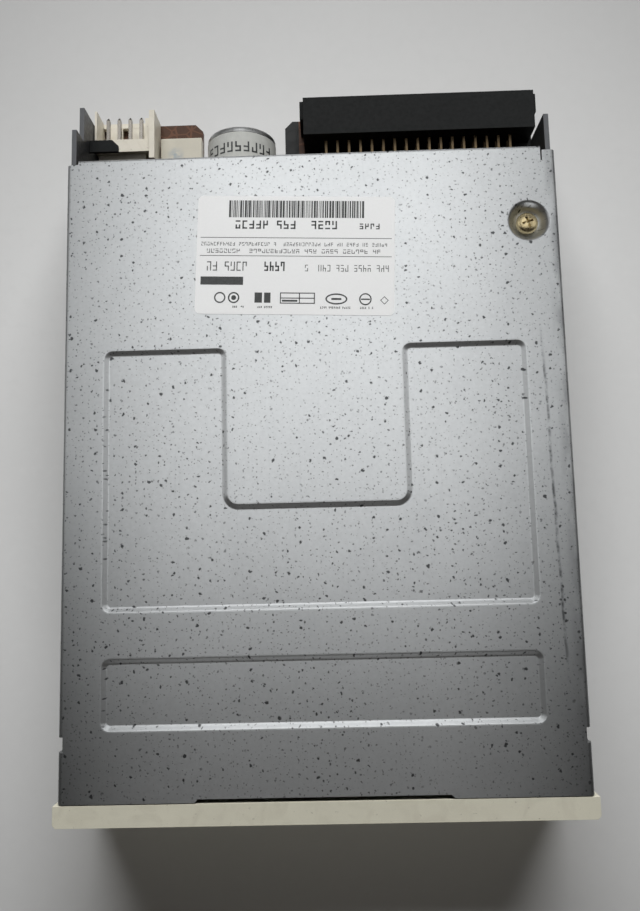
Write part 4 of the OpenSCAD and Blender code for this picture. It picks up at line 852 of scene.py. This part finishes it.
def mock_glyph(bm, chance, x, y, w, h, pen):
    """A meaningless mark of four strokes, no letter of any script."""
    strokes = chance.sample(range(7), 4)
    for s in strokes:
        if s < 3:
            ink(bm, x, y + s * (h - pen) / 2, w, pen)
        elif s < 5:
            ink(bm, x + (s - 3) * (w - pen), y + h / 2, pen, h / 2)
        else:
            ink(bm, x + (s - 5) * (w - pen), y, pen, h / 2)


def mock_line(bm, chance, x, end, y, w, h, pen, gap):
    """A row of marks with a gap here and there."""
    while x + w < end:
        if chance.random() < 0.84:
            mock_glyph(bm, chance, x, y, w, h, pen)
        x += w + gap


def ink_ring(bm, x, y, rx, ry, pen, segments=40):
    outer = bmesh.ops.create_circle(bm, cap_ends=False, radius=1, segments=segments)["verts"]
    inner = bmesh.ops.create_circle(bm, cap_ends=False, radius=1, segments=segments)["verts"]
    bmesh.ops.scale(bm, vec=(rx, ry, 1), verts=outer)
    bmesh.ops.scale(bm, vec=(rx - pen, ry - pen, 1), verts=inner)
    edges = list({e for v in outer + inner for e in v.link_edges})
    bmesh.ops.bridge_loops(bm, edges=edges)
    bmesh.ops.translate(bm, vec=(x, y, PAPER + INK), verts=outer + inner)


def build_label():
    bm = bmesh.new()
    block(bm, (-LABEL_X, -LABEL_Y, 0.002), (LABEL_X, LABEL_Y, PAPER))
    upright = [e for e in bm.edges if abs(e.verts[0].co.z - e.verts[1].co.z) > 0.01]
    soften(bm, upright, 1.1, 6)
    on_label(bm)
    finish_piece(bm, "label_face", "drive", finish_for("label_film"), ["cover_label"])
    chance = random.Random(35)
    bm = bmesh.new()
    x = -13.66
    while x < 13.8:
        w = chance.choice((0.13, 0.13, 0.2, 0.3, 0.42))
        ink(bm, x, 7.85, w, 3.6)
        x += w + chance.choice((0.1, 0.13, 0.2))
    mock_line(bm, chance, -13.66, 9.2, 5.45, 0.98, 1.75, 0.3, 0.42)
    mock_line(bm, chance, 10.7, 17.3, 5.5, 0.72, 1.2, 0.22, 0.38)
    for y in (3.5, -0.32):
        ink(bm, -19.3, y, 38.7, 0.12)
    mock_line(bm, chance, -19.1, 19.0, 1.85, 0.42, 0.75, 0.11, 0.22)
    mock_line(bm, chance, -17.9, 17.4, 0.35, 0.62, 0.85, 0.13, 0.24)
    mock_line(bm, chance, -19.0, -9.4, -3.4, 0.85, 1.9, 0.2, 0.35)
    mock_line(bm, chance, -6.2, -2.0, -3.4, 0.8, 1.95, 0.3, 0.3)
    mock_line(bm, chance, 2.0, 18.9, -3.4, 0.6, 1.35, 0.14, 0.3)
    ink(bm, -19.0, -6.35, 8.6, 1.7)
    ink_ring(bm, -15.0, -9.0, 1.15, 1.15, 0.28)
    ink_ring(bm, -12.2, -9.0, 1.15, 1.15, 0.28)
    ink_ring(bm, -12.2, -9.0, 0.5, 0.5, 0.49)
    ink(bm, -8.0, -10.0, 1.5, 2.1)
    ink(bm, -6.1, -10.0, 1.3, 2.1)
    for y in (-10.15, -9.1, -8.05):
        ink(bm, -2.9, y, 7.0, 0.2)
    for x in (-2.9, 0.9, 3.9):
        ink(bm, x, -10.15, 0.2, 2.3)
    ink(bm, -2.5, -9.75, 3.1, 0.4)
    ink_ring(bm, 8.4, -9.1, 2.2, 1.15, 0.3)
    ink(bm, 7.4, -9.3, 2.0, 0.4)
    ink_ring(bm, 14.2, -9.1, 1.25, 1.25, 0.26)
    ink(bm, 13.3, -9.25, 1.8, 0.28)
    ink_ring(bm, 18.0, -9.3, 0.85, 0.85, 0.18, 4)
    for x, end in ((-12.4, -9.9), (-7.4, -4.2), (5.2, 11.4), (12.8, 15.8)):
        mock_line(bm, chance, x, end, -11.1, 0.22, 0.42, 0.1, 0.12)
    on_label(bm)
    bmesh.ops.recalc_face_normals(bm, faces=bm.faces[:])
    finish_piece(bm, "label_print", "drive", label_ink())


# ---------- front ----------


def build_front(sizes):
    edge = sizes.moulding_edge
    rounded_copy("front_bezel", "bezel_shell", edge, 3)
    rounded_copy("door_flap", "door_panel", edge * 0.7)
    button = rounded_copy("eject_button", "button_cap", edge * 1.2, 3)
    low, high = in_mm(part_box("eject_button"))
    roof = bmesh.new()
    block(roof, (low.x + 0.7, low.y + 1.7, high.z - 1.15), (high.x - 0.7, low.y + 9.4, high.z - 0.01))
    carve(button, roof, "UNION")
    even_normals(button)
    rounded_copy("led_lamp", "lamp_body", edge * 0.8)


# ---------- rear ----------


def build_header(sizes):
    """Shroud and pins, and a made-up foot that fills the gap at the right end; it stands for no node."""
    rounded_copy("header_shroud", "header_body", sizes.moulding_edge * 0.8)
    low, high = in_mm(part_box("header_shroud"))
    bm = bmesh.new()
    block(bm, (high.x - 3.3, low.y - 8.6, low.z + 0.02), (high.x - 0.05, high.y - 0.2, low.z + 2.4))
    slot = SLOT_OF["header_shroud"]
    finish_piece(bm, "header_foot", "drive", finish_for(slot))
    contacts = rounded_copy("header_pins", "header_contacts", 0.00008, 1)
    # painted shade: the gold contacts are coloured dark brown, for the shade they stand in
    contacts.data.materials[0] = bare_metal("pin_painted_shade", (0.2, 0.15, 0.09), 0.45)


POWER_X, POWER_PITCH = -42.1, 2.5


def build_power_connector():
    """Open-topped housing with ribs beside the pins, and a square pin in each gap."""
    low, high = in_mm(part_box("power_connector"))
    left, right, rear = low.x, high.x, high.y
    front = rear - 9.3
    base = 6.5
    columns = [POWER_X + POWER_PITCH * (i - 1.5) for i in range(4)]
    bm = bmesh.new()
    block(bm, (left, front, base), (right - 0.1, front + 2.9, base + 5.7))
    block(bm, (left + 0.02, front + 2.5, base + 0.02), (left + 0.5, rear, base + 6.5))
    block(bm, (left + 0.4, front - 1.6, base + 0.04), (right - 2.4, front + 0.3, base + 4.4))
    block(bm, (right - 1.2, front - 2.0, base - 0.02), (right, rear - 0.02, base + 6.48))
    block(bm, (right - 2.6, front + 2.4, base + 0.06), (right - 1.0, rear - 0.6, base + 4.2))
    block(bm, (left + 0.04, rear - 1.3, base + 0.08), (right - 0.04, rear - 0.2, base + 1.3))
    for a, b in ((columns[0] - 0.5, columns[1] + 0.1), (columns[2] - 0.1, right - 0.5)):
        block(bm, (a, front + 2.6, base + 0.1), (b, rear - 0.5, base + 1.26))
    cream = finish_for("cream_plastic")
    housing = finish_piece(bm, "power_housing", "drive", cream, ["power_connector"])
    join_solids(housing)
    round_edges(housing, 0.00016)
    bm = bmesh.new()
    for x in columns:
        pin = block(bm, (x - 0.4, front - 1.9, 9.6), (x + 0.4, rear - 0.75, 10.4))
        tip = [v for v in pin if v.co.y > rear - 1]
        end = [f for f in bm.faces if set(f.verts) == set(tip)]
        tip = bmesh.ops.extrude_face_region(bm, geom=end)["geom"]
        tip = [v for v in tip if isinstance(v, bmesh.types.BMVert)]
        bmesh.ops.translate(bm, vec=(0, 0.6, 0), verts=tip)
        bmesh.ops.scale(bm, vec=(0.35, 1, 0.35), space=Matrix.Translation((-x, 0, -10.0)), verts=tip)
        block(bm, (x - 0.4, front - 1.9, 3.4), (x + 0.4, front - 1.1, 10.4))
    # painted shade: the tinned pins are coloured darker than bright tin
    tin_painted_shade = bare_metal("tinned_pin_painted_shade", (0.34, 0.32, 0.29), 0.2)
    pins = finish_piece(bm, "power_pins", "drive", tin_painted_shade)
    join_solids(pins)
    round_edges(pins, 0.00018)


def join_solids(piece):
    """Merges the overlapping boxes of a piece into one skin."""
    bm = bmesh.new()
    bm.from_mesh(piece.data)
    islands = []
    left = set(bm.faces)
    while left:
        seed = left.pop()
        island, queue = {seed}, [seed]
        while queue:
            for e in queue.pop().edges:
                for f in e.link_faces:
                    if f in left:
                        left.discard(f)
                        island.add(f)
                        queue.append(f)
        islands.append([f.index for f in island])
    bm.free()
    parts = []
    for numbers in islands:
        part = bmesh.new()
        part.from_mesh(piece.data)
        keep = set(numbers)
        part.faces.ensure_lookup_table()
        bmesh.ops.delete(part, geom=[f for f in part.faces if f.index not in keep], context="FACES")
        parts.append(placed("solid", mesh_of(part, "solid")))
    first = parts[0].data.copy()
    old, piece.data = piece.data, first
    first.materials.clear()
    first.materials.append(old.materials[0])
    for other in parts[1:]:
        union = piece.modifiers.new("Join", "BOOLEAN")
        union.operation, union.solver, union.object = "UNION", "EXACT", other
    settle(piece)
    for part in parts:
        mesh = part.data
        bpy.data.objects.remove(part)
        bpy.data.meshes.remove(mesh)
    tidy = bmesh.new()
    tidy.from_mesh(piece.data)
    flatten(tidy)
    tidy.to_mesh(piece.data)
    tidy.free()


MOTOR_X, MOTOR_Z = -15.4, 11
MARK_TURN = 13.5  # degrees between the marks round the can


def build_stepper():
    """Can with a rolled rear rim and a stepped face, its label, and marks printed on it."""
    centre = (MOTOR_X, at(120.2), MOTOR_Z)
    bm = bmesh.new()
    profile = [
        (0, -2.0), (2.8, -2.0), (3.0, -1.8), (3.0, 0), (7.2, 0), (7.5, 0.3), (7.5, 15.55), (7.4, 15.62),
        (7.4, 15.95), (7.5, 16.02), (7.5, 16.75), (7.42, 16.93), (7.25, 17.0), (5.8, 17.0), (5.65, 16.92),
        (5.6, 16.6), (3.1, 16.6), (3.0, 16.7), (2.95, 16.82), (2.8, 16.86), (0, 16.86),
    ]
    turned(bm, profile, centre, (0, 1, 0), 96)
    finish_piece(bm, "stepper_can", "drive", finish_for("motor_can"), ["stepper_motor"], 30)
    rounded_copy("stepper_label", "stepper_wrap", 0.00003, 1, paper_wrap_painted_shade())
    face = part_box("stepper_label")[1].z * MM
    chance = random.Random(7)
    bm = bmesh.new()
    for i in range(-4, 5):
        strokes = bmesh.new()
        mock_glyph(strokes, chance, -0.62, 0, 1.24, 2.3, 0.36)
        bmesh.ops.translate(strokes, vec=(MOTOR_X, at(131.5), face - 0.064), verts=strokes.verts[:])
        bmesh.ops.rotate(
            strokes,
            cent=(MOTOR_X, 0, MOTOR_Z),
            matrix=Matrix.Rotation(math.radians(MARK_TURN * i), 3, "Y"),
            verts=strokes.verts[:],
        )
        mesh = mesh_of(strokes, "strokes")
        bm.from_mesh(mesh)
        bpy.data.meshes.remove(mesh)
    finish_piece(bm, "stepper_print", "drive", label_ink())
    rounded_copy("stepper_flange", "stepper_plate", 0.0001)
    rounded_copy("stepper_flex", "stepper_ribbon", 0.00004, 1)
    rounded_copy("stepper_socket", "stepper_receptacle", 0.00025, 2, stepper_socket_plastic())


def build_boards():
    rounded_copy("wire_guard", "guard_plate", 0.0001)
    rounded_copy("flex_socket", "flex_receptacle", 0.00012)
    rounded_copy("control_chip", "control_package", 0.00006, 1)
    rounded_copy("track_sensor", "track_gate", 0.0001)
    rounded_copy("switch_bodies", "switch_cases", 0.00012)


# ---------- mechanism ----------


STEPS_PER_TURN = 20


def coil_spring(name, start, end, coil_r, wire_r, turns, material, body, node, sides=8):
    """A wire wound on an axis from start to end, closed at both ends."""
    start, end = Vector(start), Vector(end)
    axis = (end - start).normalized()
    side = axis.orthogonal().normalized()
    steps = turns * STEPS_PER_TURN
    rise = (end - start).length / steps
    bm = bmesh.new()
    turn = Matrix((side, axis, side.cross(axis))).transposed().to_4x4()
    ring = bmesh.ops.create_circle(
        bm,
        cap_ends=True,
        radius=wire_r,
        segments=sides,
        matrix=Matrix.Translation(start + side * coil_r) @ turn,
    )["verts"]
    bmesh.ops.spin(
        bm,
        geom=ring + list({e for v in ring for e in v.link_edges}) + bm.faces[:],
        cent=start,
        axis=axis,
        dvec=axis * rise,
        angle=math.tau * turns,
        steps=steps,
        use_merge=False,
        use_duplicate=False,
    )
    bmesh.ops.recalc_face_normals(bm, faces=bm.faces[:])
    return finish_piece(bm, name, body, material, node, 60)


def axis_ends(box, axis, inset):
    """The two ends of a box's middle line in millimetres, inset along it."""
    low, high = in_mm(box)
    start, end = (low + high) / 2, (low + high) / 2
    start[axis], end[axis] = low[axis] + inset, high[axis] - inset
    return start, end


def build_springs():
    steel = finish_for("bright_steel")
    for side, name in ((1, "slide_spring_right"), (-1, "slide_spring_left")):
        low, high = in_mm(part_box("slide_springs"))
        x, z = side * (high.x - 1.5), (low.z + high.z) / 2
        spring = coil_spring(
            name, (x, low.y + 0.3, z), (x, high.y - 0.3, z), 1.25, 0.22, 14, steel, "drive",
            ["slide_springs"] if side == 1 else [],
        )
        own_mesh(spring)
    ends = axis_ends(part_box("lever_spring"), 2, 0.3)
    coil_spring("lever_coil", *ends, 2.98, 0.3, 5, steel, "drive", ["lever_spring"])
    ends = axis_ends(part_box("arm_spring"), 0, 0.2)
    coil_spring("arm_coil", *ends, 1.3, 0.2, 3, steel, "carriage", ["arm_spring"])
    ends = axis_ends(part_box("door_spring"), 0, 0.1)
    coil_spring("door_coil", *ends, 0.66, 0.08, 10, steel, "drive", ["door_spring"], 6)


# node: (piece, edge radius in metres)
ROUNDED_MECHANISM = {
    "chassis": ("chassis_frame", 0.00018),
    "disk_carrier": ("carrier_channel", 0.00015),
    "slide_plate": ("slide_frame", 0.00012),
    "shutter_lever": ("lever_arm", 0.00012),
    "head_carriage": ("carriage_block", 0.0002),
    "upper_arm": ("arm_plate", 0.00012),
    "lower_head": ("lower_slider", 0.00015),
    "upper_head": ("upper_slider", 0.00012),
    "rod_holders": ("rod_clamps", 0.00012),
    "screw_bearing": ("screw_bush", 0.00012),
}


def build_mechanism():
    for node, (name, radius) in ROUNDED_MECHANISM.items():
        rounded_copy(node, name, radius)


def paint_frame():
    """Gives every CAD solid that still shows the finish of its slot."""
    for node, solid in frame["nodes"].items():
        material = finish_for(SLOT_OF[node])
        solid.data.materials.clear()
        solid.data.materials.append(material)
        shade(solid.data, 30)


# ---------- stage ----------


def aim(thing, target):
    """Points a lamp or camera at a place."""
    direction = Vector(target) - thing.location
    thing.rotation_euler = direction.to_track_quat("-Z", "Y").to_euler()


def lamp(name, place, target, size, power):
    data = bpy.data.lights.new(name, "AREA")
    data.shape, data.size, data.size_y = "RECTANGLE", size[0], size[1]
    data.energy = power
    thing = placed(name, data)
    thing.location = place
    aim(thing, target)
    return thing


WINDOW = (0.03, 1.15, 0.78), (0, 0.02, 0), (1.3, 0.7)
# The camera solved from the photo: lens and height in pixels, place in metres, turns about X, Y and Z
PHOTO_LENS, PHOTO_HEIGHT = 800, 911
SENSOR = 36
CAMERA_PLACE = (0.003609, at(45.088) / MM, 0.180326)
CAMERA_TURN = (0.123793, 0.021723, -0.023841)


def build_stage():
    """Floor, lamps and camera, in metres. The gleam cards only show in reflections."""
    bm = bmesh.new()
    bmesh.ops.create_grid(bm, x_segments=2, y_segments=2, size=1.5)
    floor = placed("floor", mesh_of(bm, "floor"))
    floor.data.materials.append(paper_floor())
    world = bpy.data.worlds.new("studio")
    world.use_nodes = True
    world.node_tree.nodes["Background"].inputs["Color"].default_value = (1.0, 0.87, 0.76, 1)
    world.node_tree.nodes["Background"].inputs["Strength"].default_value = 0.034
    bpy.context.scene.world = world
    window = lamp("window", *WINDOW, 27.0)
    window.visible_glossy = False
    lamp("front_fill", (0, -1.3, 0.16), (0, 0, 0.01), (1.2, 0.3), 3.4)
    for card in (
        lamp("window_gleam", *WINDOW, 11.5),
        lamp("left_gleam", (-0.8, 0.3, 0.75), (0, 0, 0), (0.7, 0.7), 1.5),
        lamp("right_gleam", (0.8, 0.3, 0.75), (0, 0, 0), (0.7, 0.7), 1.5),
        lamp("ceiling_gleam", (0, 0.42, 1.0), (0, 0.42, 0), (0.7, 0.96), 2.95),
    ):
        card.visible_diffuse = False
    data = bpy.data.cameras.new("camera")
    data.sensor_width, data.sensor_fit = SENSOR, "AUTO"
    data.lens = PHOTO_LENS * SENSOR / PHOTO_HEIGHT
    data.clip_start, data.clip_end = 0.01, 10
    camera = placed("camera", data)
    x, y, z = CAMERA_TURN
    turn = Matrix.Rotation(z, 3, "Z") @ Matrix.Rotation(y, 3, "Y") @ Matrix.Rotation(x, 3, "X")
    camera.location = CAMERA_PLACE
    camera.rotation_euler = turn.to_euler()
    bpy.context.scene.camera = camera
    bpy.context.scene.view_settings.view_transform = "Standard"


# ---------- operators ----------


class DRIVE_OT_finishes(bpy.types.Operator):
    """Give every CAD solid the finish of its slot"""

    bl_idname = "drive.finishes"
    bl_label = "Finishes"

    def execute(self, context):
        paint_frame()
        return {"FINISHED"}


class DRIVE_OT_cover(bpy.types.Operator):
    """Build the pressed sheet cover with its two panels and screw seat"""

    bl_idname = "drive.cover"
    bl_label = "Sheet Cover"

    def execute(self, context):
        build_cover(context.scene.drive_sizes, context.scene.drive_colours)
        return {"FINISHED"}


class DRIVE_OT_cover_screw(bpy.types.Operator):
    """Build the cross-head screw of the cover"""

    bl_idname = "drive.cover_screw"
    bl_label = "Cover Screw"

    def execute(self, context):
        build_cover_screw()
        return {"FINISHED"}


class DRIVE_OT_label(bpy.types.Operator):
    """Build the label of the cover and its meaningless print"""

    bl_idname = "drive.label"
    bl_label = "Label"

    def execute(self, context):
        build_label()
        return {"FINISHED"}


class DRIVE_OT_front(bpy.types.Operator):
    """Build the bezel, the flap, the eject button and the lamp"""

    bl_idname = "drive.front"
    bl_label = "Bezel and Button"

    def execute(self, context):
        build_front(context.scene.drive_sizes)
        return {"FINISHED"}


class DRIVE_OT_header(bpy.types.Operator):
    """Build the signal header and its pins"""

    bl_idname = "drive.header"
    bl_label = "Signal Header"

    def execute(self, context):
        build_header(context.scene.drive_sizes)
        return {"FINISHED"}


class DRIVE_OT_power_connector(bpy.types.Operator):
    """Build the power connector's housing and pins"""

    bl_idname = "drive.power_connector"
    bl_label = "Power Connector"

    def execute(self, context):
        build_power_connector()
        return {"FINISHED"}


class DRIVE_OT_stepper(bpy.types.Operator):
    """Build the stepper motor's can, label, plate, ribbon and socket"""

    bl_idname = "drive.stepper"
    bl_label = "Stepper Motor"

    def execute(self, context):
        build_stepper()
        return {"FINISHED"}


class DRIVE_OT_boards(bpy.types.Operator):
    """Build the pieces on the boards and the guard plate"""

    bl_idname = "drive.boards"
    bl_label = "Board Pieces"

    def execute(self, context):
        build_boards()
        return {"FINISHED"}


class DRIVE_OT_springs(bpy.types.Operator):
    """Wind the springs"""

    bl_idname = "drive.springs"
    bl_label = "Springs"

    def execute(self, context):
        build_springs()
        return {"FINISHED"}


class DRIVE_OT_mechanism(bpy.types.Operator):
    """Build the chassis, disk carrier, slide plate, lever and heads"""

    bl_idname = "drive.mechanism"
    bl_label = "Chassis and Mechanism"

    def execute(self, context):
        build_mechanism()
        return {"FINISHED"}


class DRIVE_OT_stage(bpy.types.Operator):
    """Lay the floor and place the lamps and the camera"""

    bl_idname = "drive.stage"
    bl_label = "Stage"

    def execute(self, context):
        build_stage()
        return {"FINISHED"}


OPERATORS = (
    DRIVE_OT_finishes,
    DRIVE_OT_cover,
    DRIVE_OT_cover_screw,
    DRIVE_OT_label,
    DRIVE_OT_front,
    DRIVE_OT_header,
    DRIVE_OT_power_connector,
    DRIVE_OT_stepper,
    DRIVE_OT_boards,
    DRIVE_OT_springs,
    DRIVE_OT_mechanism,
    DRIVE_OT_stage,
)


class DRIVE_PT_panel(bpy.types.Panel):
    """Sizes, colours and building steps of the disk drive"""

    bl_idname = "DRIVE_PT_panel"
    bl_label = "Disk Drive"
    bl_space_type = "VIEW_3D"
    bl_region_type = "UI"
    bl_category = "Disk Drive"

    def draw(self, context):
        for group in (context.scene.drive_sizes, context.scene.drive_colours):
            box = self.layout.box()
            for name in group.__annotations__:
                box.prop(group, name)
        for operator in OPERATORS:
            self.layout.operator(operator.bl_idname)


CLASSES = (DriveSizes, DriveColours, *OPERATORS, DRIVE_PT_panel)


def register():
    for cls in CLASSES:
        bpy.utils.register_class(cls)
    bpy.types.Scene.drive_sizes = PointerProperty(type=DriveSizes)
    bpy.types.Scene.drive_colours = PointerProperty(type=DriveColours)


def unregister():
    del bpy.types.Scene.drive_colours
    del bpy.types.Scene.drive_sizes
    for cls in reversed(CLASSES):
        bpy.utils.unregister_class(cls)


def main():
    register()
    for operator in OPERATORS:
        group, name = operator.bl_idname.split(".")
        getattr(getattr(bpy.ops, group), name)()


if __name__ == "__main__":
    main()
